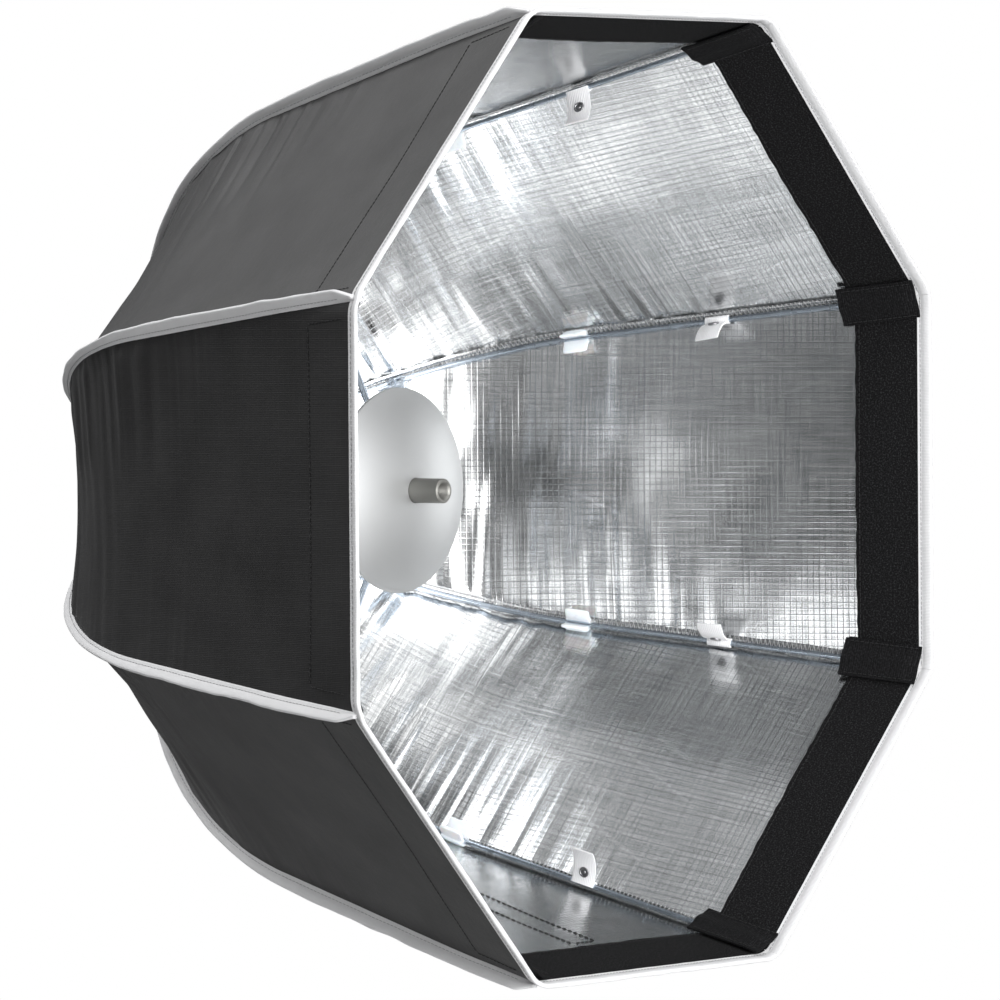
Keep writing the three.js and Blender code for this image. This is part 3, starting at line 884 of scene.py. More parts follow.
def half_stitching(panel, side):
    """Dark rows round the loop band, seen on both faces, and grey rows along the tape's legs."""
    half = owner(panel, side)[0]
    dark, grey = Solid(), Solid()
    inside = 1 - SEAM_STITCH_INSET / (RIM_RADIUS * SIN_HALF)

    def add(solid, d, v, clear, outwards, pitch=STITCH_PITCH):
        points = panel_point(panel, d, v, inset=0 if outwards else CLOTH_THICKNESS)
        normals = panel_normal(panel, d, v) * (1 if outwards else -1)
        stitches(solid, *run_of_stitches(points + clear * normals, normals, pitch))

    v = np.linspace(0.0, inside, 80) * side
    band_row = np.full_like(v, BAND_DEPTH - BAND_STITCH_INSET)
    add(dark, band_row, v, STITCH_CLEARANCE, True)
    add(dark, band_row, v, BAND_THICKNESS + STITCH_CLEARANCE, False)
    down = np.linspace(BAND_DEPTH - 0.003, 0.008, 20)
    add(dark, down, np.full_like(down, inside * side), STITCH_CLEARANCE, True)
    edge = np.linspace(0.0, 0.985, 80) * side
    clear = TAPE_PINCH * RIM_TAPE_FULLNESS - CLOTH_THICKNESS / 2 + STITCH_CLEARANCE
    for leg, outwards in ((RIM_TAPE_OUTER_LEG, True), (RIM_TAPE_REACH, False)):
        sewn_at = leg * (1 - STITCH_LEVEL) - RIM_TAPE_PROUD
        add(grey, np.full_like(edge, sewn_at), edge, clear, outwards, 0.003)
    for solid, name, material in (
        (dark, "band_stitching", DARK_THREAD),
        (grey, "rim_stitching", GREY_THREAD),
    ):
        piece = solid.object(f"{name}_{panel}_{half}", material)
        blend_half(piece)


def strap_stitching():
    """Rows of stitches through the lowest panel, which hold a strap on its outer side."""
    low, high = STRAP_MIDDLE - STRAP_WIDTH / 2, STRAP_MIDDLE + STRAP_WIDTH / 2
    for side, edge in ((-1, low), (1, high)):
        solid = Solid()
        far = np.linspace(STRAP_START, STRAP_END, 60)
        across = np.linspace(0.0, edge, 12)
        rows = [(far, np.full_like(far, edge)), (np.full_like(across, STRAP_START), across)]
        rows.append((np.full_like(across, STRAP_END), across))
        for d, x in rows:
            v = x / (shell_line(d)[0] * SIN_HALF)
            for outwards in (True, False):
                inset, sign = (0.0, 1) if outwards else (CLOTH_THICKNESS, -1)
                normals = sign * panel_normal(STRAP_PANEL, d, v)
                points = panel_point(STRAP_PANEL, d, v, inset=inset) + STITCH_CLEARANCE * normals
                run = run_of_stitches(points, normals, STRAP_STITCH_PITCH)
                stitches(solid, *run, thickness=STRAP_STITCH_THICKNESS)
        half = owner(STRAP_PANEL, side)[0]
        piece = solid.object(f"strap_stitching_{STRAP_PANEL}_{half}", DARK_THREAD)
        blend_half(piece)


# --- Along each rib -----------------------------------------------------------------------


def seam_binding(number):
    """The tape that closes the outer seam and stands up from it."""
    d = np.linspace(FIN_START, shell_distance(FIN_END_RADIUS), 190)
    outward, _, across = rib_plane_axes(number, d)
    lean = (FIN_LEAN[number] + 0.06 * noise(d * 25, number * 3.1, 61))[:, None]
    up = np.cos(lean) * outward + np.sin(lean) * across
    side = np.cos(lean) * across - np.sin(lean) * outward
    height = FIN_HEIGHT * (1 + 0.05 * noise(d * 60, number, 63))
    # it is lower at both ends, and along the bend towards the hub
    height *= 0.35 + 0.65 * smoothstep(d / 0.016)
    height *= 1 - 0.30 * smoothstep((d - 0.18) / 0.09)
    height *= 0.55 + 0.45 * smoothstep((d[-1] - d) / 0.012)
    base = rib_plane_point(number, d, inset=seam_inset(d) + 0.0005)
    section = np.repeat(folded_tape(1.0, 1.0)[None], len(d), axis=0)
    plump = FIN_THICKNESS * (1 + 0.12 * noise(d * 85, number, 64))
    ripple = 0.0003 * noise(d * 130, number * 1.7, 62)
    level = folded_tape(1.0, FIN_THICKNESS / FIN_HEIGHT)[:, 1]
    section[..., 0] = section[..., 0] * plump[:, None] + ripple[:, None] * level ** 1.5
    section[..., 1] = level * height[:, None]
    piece = Solid().sweep(base, side, up, section).object(f"seam_binding_{number}", TAPE)
    fix(piece, f"rib_{number}", "black_webbing")

    sewn = Solid()
    for sign in (1, -1):
        path = base + STITCH_LEVEL * height[:, None] * up
        path = path + sign * (TAPE_PINCH * plump[:, None] + STITCH_CLEARANCE) * side
        run = run_of_stitches(path[6:-6], sign * side[6:-6], FIN_STITCH_PITCH)
        stitches(sewn, *run, thickness=FIN_STITCH_THICKNESS)
    thread_piece = sewn.object(f"seam_stitching_{number}", GREY_THREAD)
    fix(thread_piece, f"rib_{number}", "black_webbing")


ALLOWANCE_END_RADIUS = 0.118
ALLOWANCE_WIDTH = 0.0058
ALLOWANCE_THICKNESS = 0.0007
OVERLOCK_PITCH = 0.0029
OVERLOCK_THREAD_RADIUS = 0.00028
OVERLOCK_EDGES = (0.0012, 0.0062)


def seam_allowance(number):
    """The raw seam edges inside, laid to one side of the rib and overlocked."""
    d = np.linspace(BAND_DEPTH + 0.004, shell_distance(ALLOWANCE_END_RADIUS), 150)
    outward, _, across = rib_plane_axes(number, d)
    width = ALLOWANCE_WIDTH * (1 + 0.06 * noise(d * 90, number, 71))
    lay = across * math.cos(HALF_SIDE) - outward * math.sin(HALF_SIDE)
    lift = -(outward * math.cos(HALF_SIDE) + across * math.sin(HALF_SIDE))
    base = rib_plane_point(number, d, inset=0.0019)
    ripple = 0.00035 * noise(d * 170, number * 2.3, 72)
    outline = rounded_box(1.0, ALLOWANCE_THICKNESS, 0.0003, 2)
    section = np.repeat(outline[None], len(d), axis=0)
    level = section[..., 0] + 0.5
    section[..., 0] = level * width[:, None]
    section[..., 1] += ripple[:, None] * level + 0.0004 * level
    piece = Solid().sweep(base, lay, lift, section).object(f"seam_allowance_{number}", LINING)
    fix(piece, f"rib_{number}", "black_nylon")

    marks = np.arange(d[0], d[-1], OVERLOCK_PITCH / 2)
    zigzag = np.where(np.arange(len(marks)) % 2 == 0, *OVERLOCK_EDGES)
    base, lay, lift = (rows_between(marks, d, rows) for rows in (base, lay, lift))
    path = base + zigzag[:, None] * lay + 0.0009 * lift
    loops = Solid().tube(path, OVERLOCK_THREAD_RADIUS, 6).object(f"overlock_{number}", SILVER_THREAD)
    fix(loops, f"rib_{number}", "black_nylon")


POCKET_START = 0.0050
POCKET_THICKNESS = 0.0013
POCKET_ARCH = 0.0012
POCKET_ARCH_WIDTH = 0.0042
POCKET_LIFT = 0.0034


def rod_pocket(number):
    """A folded webbing sleeve sewn across the rim's corner, with the rib's tip inside."""
    half = POCKET_WIDTH / 2
    d = np.linspace(POCKET_START, POCKET_LENGTH, 40)
    outward, _, across = rib_plane_axes(number, d)
    base = rib_plane_point(number, d)
    x = np.linspace(-1, 1, 23)
    edge_inset = POCKET_LIFT + half * TAN_HALF
    over_rod = RIB_INSET + RIB_RADIUS + 0.0007
    arch = np.exp(-((x * half) / POCKET_ARCH_WIDTH) ** 2)
    flat = edge_inset - 0.0006 * (1 - x * x)
    inset = np.maximum(flat, over_rod) + POCKET_ARCH * arch
    upper = np.stack([x * half, -inset - POCKET_THICKNESS], axis=1)
    lower = np.stack([x * half, -inset], axis=1)[::-1]
    section = np.repeat(np.concatenate([upper, lower])[None], len(d), axis=0)
    # its rim end is drawn down under the binding
    tucked = (1 - smoothstep((d - d[0]) / 0.009))[:, None]
    section[..., 1] += tucked * 0.0013 * (1 - (section[..., 0] / half) ** 2) + tucked * 0.0005
    # its other end gapes a little round the rod
    open_end = smoothstep((d - d[-1] + 0.012) / 0.012)
    section[..., 1] -= open_end[:, None] * 0.0009 * np.exp(-(section[..., 0] / 0.006) ** 2)
    section[..., 1] -= 0.00025 * noise(d[:, None] * 150, section[..., 0] * 200, number)
    piece = Solid().sweep(base, across, outward, section).object(f"rod_pocket_web_{number}", WEBBING)
    sharpen(piece, 50)
    fix(piece, f"rib_{number}", "black_webbing", f"rod_pocket_{number}")

    sewn = Solid()
    for sign in (1, -1):
        sit = edge_inset + POCKET_THICKNESS + 0.0002
        path = base - sit * outward + sign * (half - 0.0018) * across
        stitches(sewn, *run_of_stitches(path[1:-2], -outward[1:-2]))
    thread_piece = sewn.object(f"pocket_stitching_{number}", DARK_THREAD)
    fix(thread_piece, f"rib_{number}", "black_webbing")


def in_rib_plane(number, point, across=0.0):
    """A place in space from (radius, y) in the plane of rib number."""
    at = corner_angle(number)
    return point[0] * radial(at) + point[1] * Y_AXIS + across * tangential(at)


def edge_ring(radius, half_thickness, chamfer, hole):
    """The profile of a flat round boss with a hole and softened edges."""
    c, h = chamfer, half_thickness
    return [
        (hole, -h + c),
        (hole + c, -h),
        (radius - c, -h),
        (radius, -h + c),
        (radius, h - c),
        (radius - c, h),
        (hole + c, h),
        (hole, h - c),
    ]


def boss(solid, number, point, radius, thickness, hole, across=0.0):
    centre = in_rib_plane(number, point, across)
    profile = edge_ring(radius, thickness / 2, min(0.0004, thickness / 5), hole)
    solid.lathe(profile, centre, tangential(corner_angle(number)), 40)


def bracket_point():
    """(radius, y) of the pivot in the bracket that a stretcher's fork straddles."""
    distance = shell_distance(BRACKET_SHELL_RADIUS)
    radius, y, angle = shell_line(distance)
    inset = RIB_INSET + BRACKET_REACH
    return np.array([float(radius - inset * np.cos(angle)), float(y - inset * np.sin(angle))])


def strap(solid, number, start, end, width, thickness, across=0.0):
    """A flat bar in the rib plane between two points."""
    a, b = in_rib_plane(number, start, across), in_rib_plane(number, end, across)
    along = (b - a) / np.linalg.norm(b - a)
    side = tangential(corner_angle(number))
    section = rounded_box(width, thickness, min(width, thickness) * 0.25, 2)
    points = np.array([a, (a + b) / 2, b])
    solid.sweep(points, np.cross(side, along), side, section)


EYE_OVERLAP = 0.0008
RIB_ROOT_REACH = 0.011
BRACKET_STRAP_THICKNESS = 0.0030
WRAP_RADII = (0.0019, 0.0025, 0.0026, 0.0026, 0.0026, 0.0025, 0.0019)


def rib_rod(number):
    """A curved rod with a flat eye at the hub and a bracket wrapped round it half way."""
    root = shell_distance(RIB_PIVOT[0] + RIB_ROOT_REACH)
    d = np.linspace(RIB_TIP, root, 90)
    path = rib_plane_point(number, d, inset=RIB_INSET)
    pivot = in_rib_plane(number, RIB_PIVOT)
    lead = pivot - path[-1]
    lead_in = path[-1] + np.linspace(0.2, 1, 5)[:, None] * lead * (
        1 - (RIB_EYE_RADIUS - EYE_OVERLAP) / np.linalg.norm(lead)
    )
    path = np.concatenate([path, lead_in])
    radii = np.full(len(path), RIB_RADIUS)
    radii[0], radii[1] = 0.0006, 0.0014
    solid = Solid().tube(path, radii, 20)
    boss(solid, number, RIB_PIVOT, RIB_EYE_RADIUS, RIB_EYE_THICKNESS, PIN_HOLE_RADIUS)
    eye = bracket_point()
    angle = float(shell_line(shell_distance(BRACKET_SHELL_RADIUS))[2])
    inward = np.array([-math.cos(angle), -math.sin(angle)])
    foot = eye - BRACKET_REACH * inward
    neck = eye - (PIN_HOLE_RADIUS + 0.0012) * inward
    strap(solid, number, foot, neck, 1.6 * BRACKET_RADIUS, BRACKET_STRAP_THICKNESS)
    boss(solid, number, eye, BRACKET_RADIUS, BRACKET_THICKNESS, PIN_HOLE_RADIUS)
    held = shell_distance(BRACKET_SHELL_RADIUS) + np.linspace(-0.006, 0.006, len(WRAP_RADII))
    solid.tube(rib_plane_point(number, held, inset=RIB_INSET), WRAP_RADII, 20)
    piece = sharpen(solid.object(f"rib_rod_{number}", SPRING_STEEL))
    fix(piece, f"rib_{number}", "spring_steel", f"rib_{number}")


STRETCHER_STRAP_WIDTH = 0.0076
WIRE_HOLE_RADIUS = 0.0013


def stretcher_rod(number):
    """A straight rod with an eye on the runner's wire and a fork over the rib's bracket."""
    start, end = np.array(RUNNER_PIVOT), bracket_point()
    along = (end - start) / np.linalg.norm(end - start)
    throat = end - (FORK_REACH + 0.001) * along
    a = in_rib_plane(number, start + (STRETCHER_EYE_RADIUS - EYE_OVERLAP) * along)
    b = in_rib_plane(number, throat)
    share = np.linspace(0, 1, 24)[:, None]
    radii = STRETCHER_RADIUS * (1 - 0.12 * np.exp(-np.linspace(0, 12, 24)))
    solid = Solid().tube(a + share * (b - a), radii, 20)
    eye = (RUNNER_PIVOT, STRETCHER_EYE_RADIUS, STRETCHER_EYE_THICKNESS, WIRE_HOLE_RADIUS)
    boss(solid, number, *eye)
    cheek = BRACKET_THICKNESS / 2 + FIT_GAP + FORK_CHEEK_THICKNESS / 2
    for sign in (1, -1):
        near, far = end - (PIN_HOLE_RADIUS + 0.001) * along, throat - 0.003 * along
        flat = (STRETCHER_STRAP_WIDTH, FORK_CHEEK_THICKNESS, sign * cheek)
        strap(solid, number, far, near, *flat)
        round_end = (FORK_CHEEK_RADIUS, FORK_CHEEK_THICKNESS, PIN_HOLE_RADIUS, sign * cheek)
        boss(solid, number, end, *round_end)
    crown = 2 * cheek + FORK_CHEEK_THICKNESS
    strap(solid, number, throat - 0.0035 * along, throat + 0.0005 * along, 0.0078, crown)
    piece = sharpen(solid.object(f"stretcher_rod_{number}", SPRING_STEEL))
    fix(piece, f"stretcher_{number}", "spring_steel", f"stretcher_{number}")


CLIP_DISTANCE = 0.2295
CLIP_HALF_LENGTH = 0.0080
CLIP_OUTER_RADIUS = 0.0040
CLIP_INNER_RADIUS = 0.0018
CLIP_LIP_LEAN = 0.42
TAB_DISTANCE = 0.135
TAB_WIDTH = 0.0155
TAB_THICKNESS = 0.0009
TAB_LOOP_STEPS = 12
TAB_STEPS = 16
STUD_AXIS_GAP = 0.00002


def rib_clip(number):
    """A white moulded clip that grips the rib and is sewn to the seam by its foot."""
    t = np.linspace(-1, 1, 21)
    d = CLIP_DISTANCE + CLIP_HALF_LENGTH * t
    outward, along, across = rib_plane_axes(number, d)
    swell = 0.78 + 0.22 * np.sqrt(np.clip(1 - np.abs(t) ** 5, 0, 1))
    rod = rib_plane_point(number, d, inset=RIB_INSET)
    # an open hook round the rod, with its two lips turned out towards the axis
    turn = np.linspace(math.radians(-140), math.radians(140), 34)
    hook = np.stack([np.sin(turn), np.cos(turn)], axis=1)
    jaw = np.concatenate([CLIP_OUTER_RADIUS * hook, CLIP_INNER_RADIUS * hook[::-1]])
    jaw = jaw[None] * swell[:, None, None]
    solid = Solid().sweep(rod, across, outward, jaw)
    foot = rib_plane_point(number, d, inset=0.0056)
    outline = rounded_box(0.0100, 0.0018, 0.0008, 4)
    section = np.repeat(outline[None], len(d), axis=0)
    section[..., 0] *= swell[:, None]
    solid.sweep(foot, across, outward, section)
    for sign in (1, -1):
        lean = CLIP_LIP_LEAN * sign
        lip = rod - 0.0052 * outward + sign * 0.0040 * across
        lift = -outward * math.cos(lean) + across * math.sin(lean)
        edge = np.cross(lift, along)
        outline = rounded_box(0.0022, 0.0086, 0.0010, 4)
        section = outline[None] * swell[:, None, None]
        solid.sweep(lip, edge, lift, section)
    piece = sharpen(solid.object(f"rib_clip_{number}", CLIP_PLASTIC), 40)
    fix(piece, f"rib_{number}", "black_plastic")


def snap_tab(number):
    """A white elastic tab round the rib, standing towards the axis, with a press stud."""
    random = np.random.default_rng(100 + number)
    length = 0.023 + 0.003 * random.random()
    curl, twist = 0.35 + 0.3 * random.random(), 0.22 * (random.random() - 0.5)
    outward, along, across = (a[0] for a in rib_plane_axes(number, TAB_DISTANCE))
    rod = rib_plane_point(number, TAB_DISTANCE, inset=RIB_INSET)[0]
    loop = RIB_RADIUS + TAB_THICKNESS / 2 + 0.0003
    sign = 1 if number % 2 else -1
    path, lift = [], []
    for a in np.linspace(0.35 * math.pi, 1.42 * math.pi, TAB_LOOP_STEPS):
        out = math.cos(a) * outward + sign * math.sin(a) * across
        path.append(rod + loop * out)
        lift.append(out)
    tip = path[-1]
    for step in range(1, TAB_STEPS + 1):
        share = step / TAB_STEPS
        bend = (1 - share) * 0.55 - curl * share
        heading = -math.cos(bend) * outward + sign * math.sin(bend) * across
        tip = tip + heading * length / TAB_STEPS
        path.append(tip)
        lift.append(-math.sin(bend) * outward - sign * math.cos(bend) * across)
    path, lift = np.array(path), np.array(lift)
    lift /= np.linalg.norm(lift, axis=1, keepdims=True)
    turn = twist * smoothstep(np.linspace(-0.6, 1, len(path)))
    side = np.cos(turn)[:, None] * along + np.sin(turn)[:, None] * lift
    normal = np.cos(turn)[:, None] * lift - np.sin(turn)[:, None] * along
    section = rounded_box(TAB_WIDTH, TAB_THICKNESS, TAB_THICKNESS * 0.4, 2)
    piece = Solid().sweep(path, side, normal, section).object(f"snap_tab_{number}", ELASTIC)
    sharpen(piece, 50)
    fix(piece, f"rib_{number}", "black_webbing")
    # on the two topmost tabs the stud sits nearer the free end
    at = TAB_LOOP_STEPS + (7 if number in (2, 3) else 4)
    profile = [
        (STUD_AXIS_GAP, 0.0012),
        (0.0011, 0.0012),
        (0.0014, 0.0008),
        (0.0021, 0.0008),
        (0.0024, 0.0013),
        (0.0031, 0.0012),
        (0.0034, 0.0006),
        (0.0034, -0.0010),
        (0.0030, -0.0014),
        (STUD_AXIS_GAP, -0.0014),
    ]
    stud = Solid().lathe(profile, path[at], normal[at], 32)
    stud = sharpen(stud.object(f"press_stud_{number}", STUD_METAL), 40)
    fix(stud, f"rib_{number}", "bright_steel")


# --- Hub, runner and dish -----------------------------------------------------------------


def smooth_profile(points, chamfer):
    """A closed profile with each corner cut by two short facets, for a soft turned edge."""
    points = np.asarray(points, float)
    made = []
    for i, corner in enumerate(points):
        before = points[i - 1] - corner
        after = points[(i + 1) % len(points)] - corner
        c = min(chamfer, 0.4 * np.linalg.norm(before), 0.4 * np.linalg.norm(after))
        a = corner + c * before / np.linalg.norm(before)
        b = corner + c * after / np.linalg.norm(after)
        made += [a, 0.25 * a + 0.5 * corner + 0.25 * b, b]
    return np.array(made)


def turned(name, profile, material, body, slot, replaced, chamfer):
    """A piece turned about the optical axis, which stands for one CAD node."""
    piece = Solid().lathe(smooth_profile(profile, chamfer), segments=128)
    piece = sharpen(piece.object(name, material), 40)
    fix(piece, body, slot, replaced)


def deflector_dish():
    """A spun dome with its edge rolled back."""
    rise = DISH_EDGE_Y - DISH_APEX_Y
    sphere = (DISH_RADIUS ** 2 + rise ** 2) / (2 * rise)
    radii = np.linspace(TUBE_RADIUS + FIT_GAP, DISH_RADIUS - 0.0012, 40)
    front = [(r, DISH_APEX_Y + sphere - np.sqrt(sphere ** 2 - r ** 2)) for r in radii]
    bead = 0.0013
    centre = (radii[-1] - 0.0001, front[-1][1] + bead)
    rolled = [
        (centre[0] + bead * math.cos(a), centre[1] + bead * math.sin(a))
        for a in np.linspace(-math.pi / 2 + 0.15, math.pi * 0.75, 12)
    ]
    back = [(r, y + DISH_THICKNESS) for r, y in front[::-1] if r < centre[0] - bead]
    piece = Solid().lathe(np.array(front + rolled + back), segments=160)
    piece = sharpen(piece.object("spun_dish", DISH_METAL), 45)
    fix(piece, "runner", "satin_aluminium", "deflector_dish")


def pierced_plate(solid, outline, hole, low, high):
    """A flat plate across the optical axis, from y low to y high, with a round hole."""
    base = len(solid.vertices)
    for x, z in outline:
        reach = hole / math.hypot(x, z)
        corners = [(x, low, z), (x, high, z), (reach * x, high, reach * z), (reach * x, low, reach * z)]
        solid.vertices += corners
        solid.uvs += [(corner[0], corner[2]) for corner in corners]
    solid.faces += ring_faces(len(outline), 4, base, closed=True)


def centre_tube():
    """The runner's tube, with a threaded mouth, and the release catch's housing at its back."""
    front, chamfer = TUBE_FRONT_Y, 0.0007
    mouth, pitch, depth = 0.0132, 0.0012, 0.0005
    thread_start = front + 0.0011
    profile = [(TUBE_BORE + 0.0011, front)]
    for turn in range(int(mouth / pitch)):
        y = thread_start + turn * pitch
        profile += [(TUBE_BORE, y), (TUBE_BORE + depth, y + pitch / 2)]
    slot_front, slot_rear = CATCH_Y - CATCH_SLOT_DEPTH / 2, CATCH_Y + CATCH_SLOT_DEPTH / 2
    profile += [(TUBE_BORE, thread_start + mouth), (TUBE_BORE, slot_front)]
    profile += [(TUBE_RADIUS, slot_front), (TUBE_RADIUS, front + chamfer)]
    profile += [(TUBE_RADIUS - chamfer, front)]
    solid = Solid().lathe(np.array(profile), segments=96)
    stub = [(TUBE_BORE, slot_rear), (TUBE_BORE, TUBE_REAR_Y), (TUBE_RADIUS - chamfer, TUBE_REAR_Y)]
    stub += [(TUBE_RADIUS, TUBE_REAR_Y - chamfer), (TUBE_RADIUS, slot_rear)]
    solid.lathe(np.array(stub), segments=96)
    width, depth_y, height = HOUSING_SIZE
    outline = rounded_box(width, height, 0.0022, 6)
    hole = TUBE_BORE + 0.0004
    pierced_plate(solid, outline, hole, CATCH_Y - depth_y / 2, slot_front)
    pierced_plate(solid, outline, hole, slot_rear, CATCH_Y + depth_y / 2)
    cheek = (width - CATCH_SLOT_WIDTH) / 2
    for sign in (1, -1):
        x = sign * (width - cheek) / 2
        ends = np.array([[x, CATCH_Y, -height / 2 + 0.002], [x, CATCH_Y, height / 2 - 0.002]])
        section = rounded_box(cheek, CATCH_SLOT_DEPTH + 0.002, 0.0003, 2)
        solid.sweep(ends, (1, 0, 0), (0, 1, 0), section)
    piece = sharpen(solid.object("runner_tube", NICKEL), 28)
    fix(piece, "runner", "nickel", "centre_tube")


def node_look(names, material, bevel_width):
    """CAD nodes whose shape is right keep it, with softened edges and a finish."""
    for name in names:
        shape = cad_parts[name]
        shape.data.materials.clear()
        shape.data.materials.append(material)
        weld = shape.modifiers.new("weld", "WELD")
        weld.merge_threshold = 0.00001
        if bevel_width:
            bevel = shape.modifiers.new("bevel", "BEVEL")
            bevel.width, bevel.segments = bevel_width, 2
            bevel.limit_method, bevel.angle_limit = "ANGLE", math.radians(30)
            bevel.harden_normals = True


SLEEVE_BORE, SLEEVE_RADIUS, FLANGE_RADIUS = 0.0445, 0.049, 0.076
SLEEVE_FRONT_Y, FLANGE_FRONT_Y, SLEEVE_REAR_Y = -0.020, -0.0057, 0.012
LUG_COUNT, LUG_RADIUS, LUG_HALF_ANGLE, LUG_Y = 3, 0.0505, 0.165, 0.010
SCREW_CIRCLE, SCREW_Y = 0.0873, -0.0026


def speedring():
    """The mounting sleeve with its lugs, the cloth's clamp ring, and the CAD's own hub parts."""
    sleeve = [(SLEEVE_BORE, SLEEVE_FRONT_Y), (SLEEVE_RADIUS, SLEEVE_FRONT_Y)]
    sleeve += [(SLEEVE_RADIUS, FLANGE_FRONT_Y), (FLANGE_RADIUS, FLANGE_FRONT_Y)]
    sleeve += [(FLANGE_RADIUS, 0.0), (SLEEVE_RADIUS, 0.0)]
    sleeve += [(SLEEVE_RADIUS, SLEEVE_REAR_Y), (SLEEVE_BORE, SLEEVE_REAR_Y)]
    turned(
        "sleeve_and_flange", sleeve, SATIN, "speedring", "satin_aluminium", "bayonet_sleeve", 0.0006
    )
    lugs = Solid()
    for index in range(LUG_COUNT):
        at = -math.pi / 6 - index * 2 * math.pi / LUG_COUNT
        sweep = at + np.linspace(-LUG_HALF_ANGLE, LUG_HALF_ANGLE, 15)
        points = np.array([LUG_RADIUS * radial(a) + LUG_Y * Y_AXIS for a in sweep])
        outline = rounded_box(0.0042, 0.0038, 0.0006, 3)
        axes = np.array([radial(a) for a in sweep])
        lugs.sweep(points, axes, Y_AXIS, outline)
    piece = sharpen(lugs.object("bayonet_lugs", SATIN), 40)
    fix(piece, "speedring", "satin_aluminium")

    ring = [(0.0765, -0.0057), (0.097, -0.0057), (0.097, -0.0040)]
    ring += [(0.0945, -0.0025), (0.0800, -0.0025), (0.0765, -0.0034)]
    turned(
        "clamp_ring", ring, BLACK_PLASTIC, "speedring", "black_plastic", "fabric_clamp_ring", 0.0005
    )
    heads = Solid()
    for number in range(1, SIDES + 1):
        middle = corner_angle(number) + HALF_SIDE
        centre = SCREW_CIRCLE * radial(middle) + SCREW_Y * Y_AXIS
        profile = [(0.0011, 0.0004), (0.0014, 0.0014), (0.0022, 0.0013)]
        profile += [(0.0029, 0.0007), (0.0031, 0.0), (0.0031, -0.0004), (0.0011, -0.0004)]
        heads.lathe(profile, centre, (0, 1, 0), 32)
    heads = sharpen(heads.object("clamp_screws", BRIGHT_STEEL), 40)
    fix(heads, "speedring", "bright_steel")

    node_look(["hub_ring", "spider"], ANODISED, 0.0006)
    node_look(["guide_rod", "rod_nut"], BRIGHT_STEEL, 0.0005)
    node_look(["runner_wire"], BRIGHT_STEEL, 0)
    node_look([f"hinge_pin_{n}" for n in range(1, SIDES + 1)], BRIGHT_STEEL, 0.0003)


def runner():
    """What slides on the guide rod: dish, tube, collar, ring and catch."""
    deflector_dish()
    centre_tube()
    collar = [(0.0076, -0.1818), (0.014, -0.1810), (0.014, -0.174), (0.0076, -0.174)]
    turned("dish_lock_collar", collar, NICKEL, "runner", "nickel", "dish_collar", 0.0008)
    node_look(["runner_ring", "release_catch"], BLACK_PLASTIC, 0.0005)


# --- Stage, light and camera --------------------------------------------------------------


FLOOR_RADIUS, FLOOR_THICKNESS, FLOOR_Z = 1.4, 0.02, -1.15
FLOOR_AXIS_GAP = 0.00001


def stage():
    """A round pale floor, well below the object."""
    profile = [(FLOOR_AXIS_GAP, 0.0), (FLOOR_RADIUS, 0.0)]
    profile += [(FLOOR_RADIUS, -FLOOR_THICKNESS), (FLOOR_AXIS_GAP, -FLOOR_THICKNESS)]
    floor = Solid().lathe(profile, (0, 0, FLOOR_Z), (0, 0, 1))
    look = Look("pale_floor", (0.66, 0.66, 0.66), 0.9)
    floor = floor.object("floor", look.material, smooth=False)


LIGHT_TARGET = Vector((0, -0.2, 0))


def area_light(name, place, size, power):
    """A square lamp that faces the object."""
    data = bpy.data.lights.new(name, "AREA")
    data.energy, data.size = power, size
    lamp = bpy.data.objects.new(name, data)
    lamp.location = place
    heading = LIGHT_TARGET - Vector(place)
    lamp.rotation_euler = heading.to_track_quat("-Z", "Y").to_euler()
    bpy.context.scene.collection.objects.link(lamp)


ROOM_LIGHT_ABOVE, ROOM_LIGHT_BELOW = 0.18, 0.0
# (name, place, side of the square, watts)
LIGHTS = (
    ("above_left_behind", (-0.9, 1.8, 2.5), 1.8, 97),
    ("above", (0.3, -1.6, 3.2), 1.6, 36),
    ("above_front", (-0.4, -2.2, 2.6), 2.2, 16),
    ("front", (-0.6, -3.6, 0.2), 2.0, 96),
    ("front_left", (-2.4, -3.6, 0.6), 2.4, 80),
    ("right", (2.6, -3.0, -0.1), 1.6, 10),
    ("below_front", (-1.2, -2.8, -1.0), 2.0, 30),
)


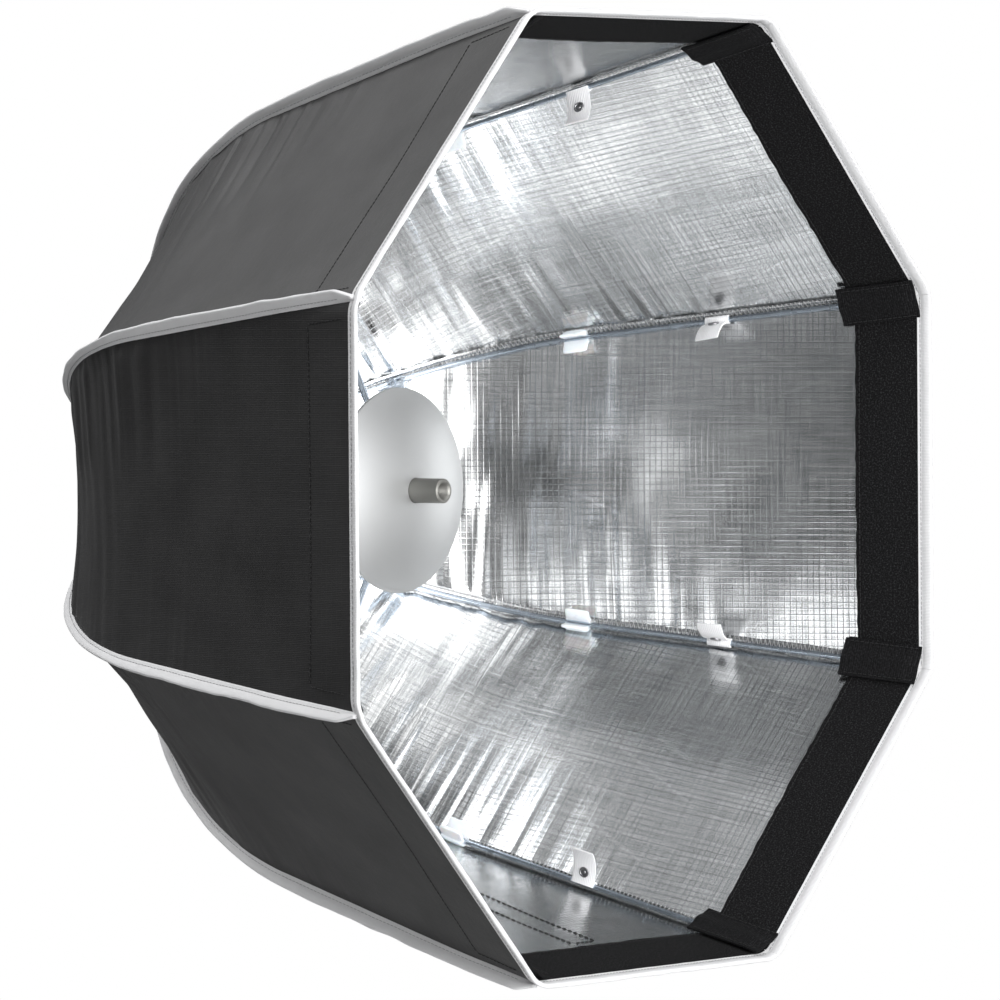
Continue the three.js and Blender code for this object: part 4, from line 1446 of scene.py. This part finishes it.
def lights():
    world = bpy.data.worlds.new("studio")
    bpy.context.scene.world = world
    world.use_nodes = True
    nodes = world.node_tree.nodes
    nodes.clear()
    kinds = ["OutputWorld", "MixShader", "LightPath", "Background", "Background"]
    kinds += ["TexCoord", "SeparateXYZ", "MapRange"]
    output, choose, path, seen, lit, where, parts, fade = (
        nodes.new("ShaderNode" + kind) for kind in kinds
    )
    # the camera sees plain white, and the light that falls on the object fades downwards
    seen.inputs["Color"].default_value = (1, 1, 1, 1)
    seen.inputs["Strength"].default_value = 1.0
    lit.inputs["Color"].default_value = (0.95, 0.97, 1, 1)
    fade.interpolation_type = "SMOOTHSTEP"
    limits = {"From Min": -0.5, "From Max": 0.5}
    limits |= {"To Min": ROOM_LIGHT_BELOW, "To Max": ROOM_LIGHT_ABOVE}
    for socket, value in limits.items():
        fade.inputs[socket].default_value = value
    for start, end in (
        (where.outputs["Generated"], parts.inputs[0]),
        (parts.outputs["Z"], fade.inputs["Value"]),
        (fade.outputs[0], lit.inputs["Strength"]),
        (path.outputs["Is Camera Ray"], choose.inputs[0]),
        (lit.outputs[0], choose.inputs[1]),
        (seen.outputs[0], choose.inputs[2]),
        (choose.outputs[0], output.inputs[0]),
    ):
        world.node_tree.links.new(start, end)
    for light in LIGHTS:
        area_light(*light)


CAMERA_PLACE = Vector((-3.6353, -3.0659, 0.1267))
CAMERA_AIM = Vector((-0.0212, -0.2629, -0.0041))
CAMERA_ROLL = math.radians(-0.409)
CAMERA_LENS, CAMERA_SENSOR = 282.39, 36.0


def camera():
    """A long lens at the front left, level with the object's middle."""
    data = bpy.data.cameras.new("camera")
    data.lens, data.sensor_width, data.clip_end = CAMERA_LENS, CAMERA_SENSOR, 100
    eye = bpy.data.objects.new("camera", data)
    eye.location = CAMERA_PLACE
    aim = (CAMERA_AIM - CAMERA_PLACE).to_track_quat("-Z", "Y").to_matrix().to_4x4()
    turned_view = aim @ Matrix.Rotation(CAMERA_ROLL, 4, "Z")
    eye.rotation_euler = turned_view.to_euler()
    bpy.context.scene.collection.objects.link(eye)
    bpy.context.scene.camera = eye
    bpy.context.scene.view_settings.view_transform = "Standard"


# --- Assembly -----------------------------------------------------------------------------

camera()
lights()
stage()
for number in range(1, SIDES + 1):
    for side in (-1, 1):
        half_cloth(number, side)
        half_band(number, side)
        half_rim_binding(number, side)
        half_stitching(number, side)
    seam_binding(number)
    seam_allowance(number)
    rod_pocket(number)
    rib_rod(number)
    stretcher_rod(number)
    rib_clip(number)
    snap_tab(number)
strap_stitching()
speedring()
runner()
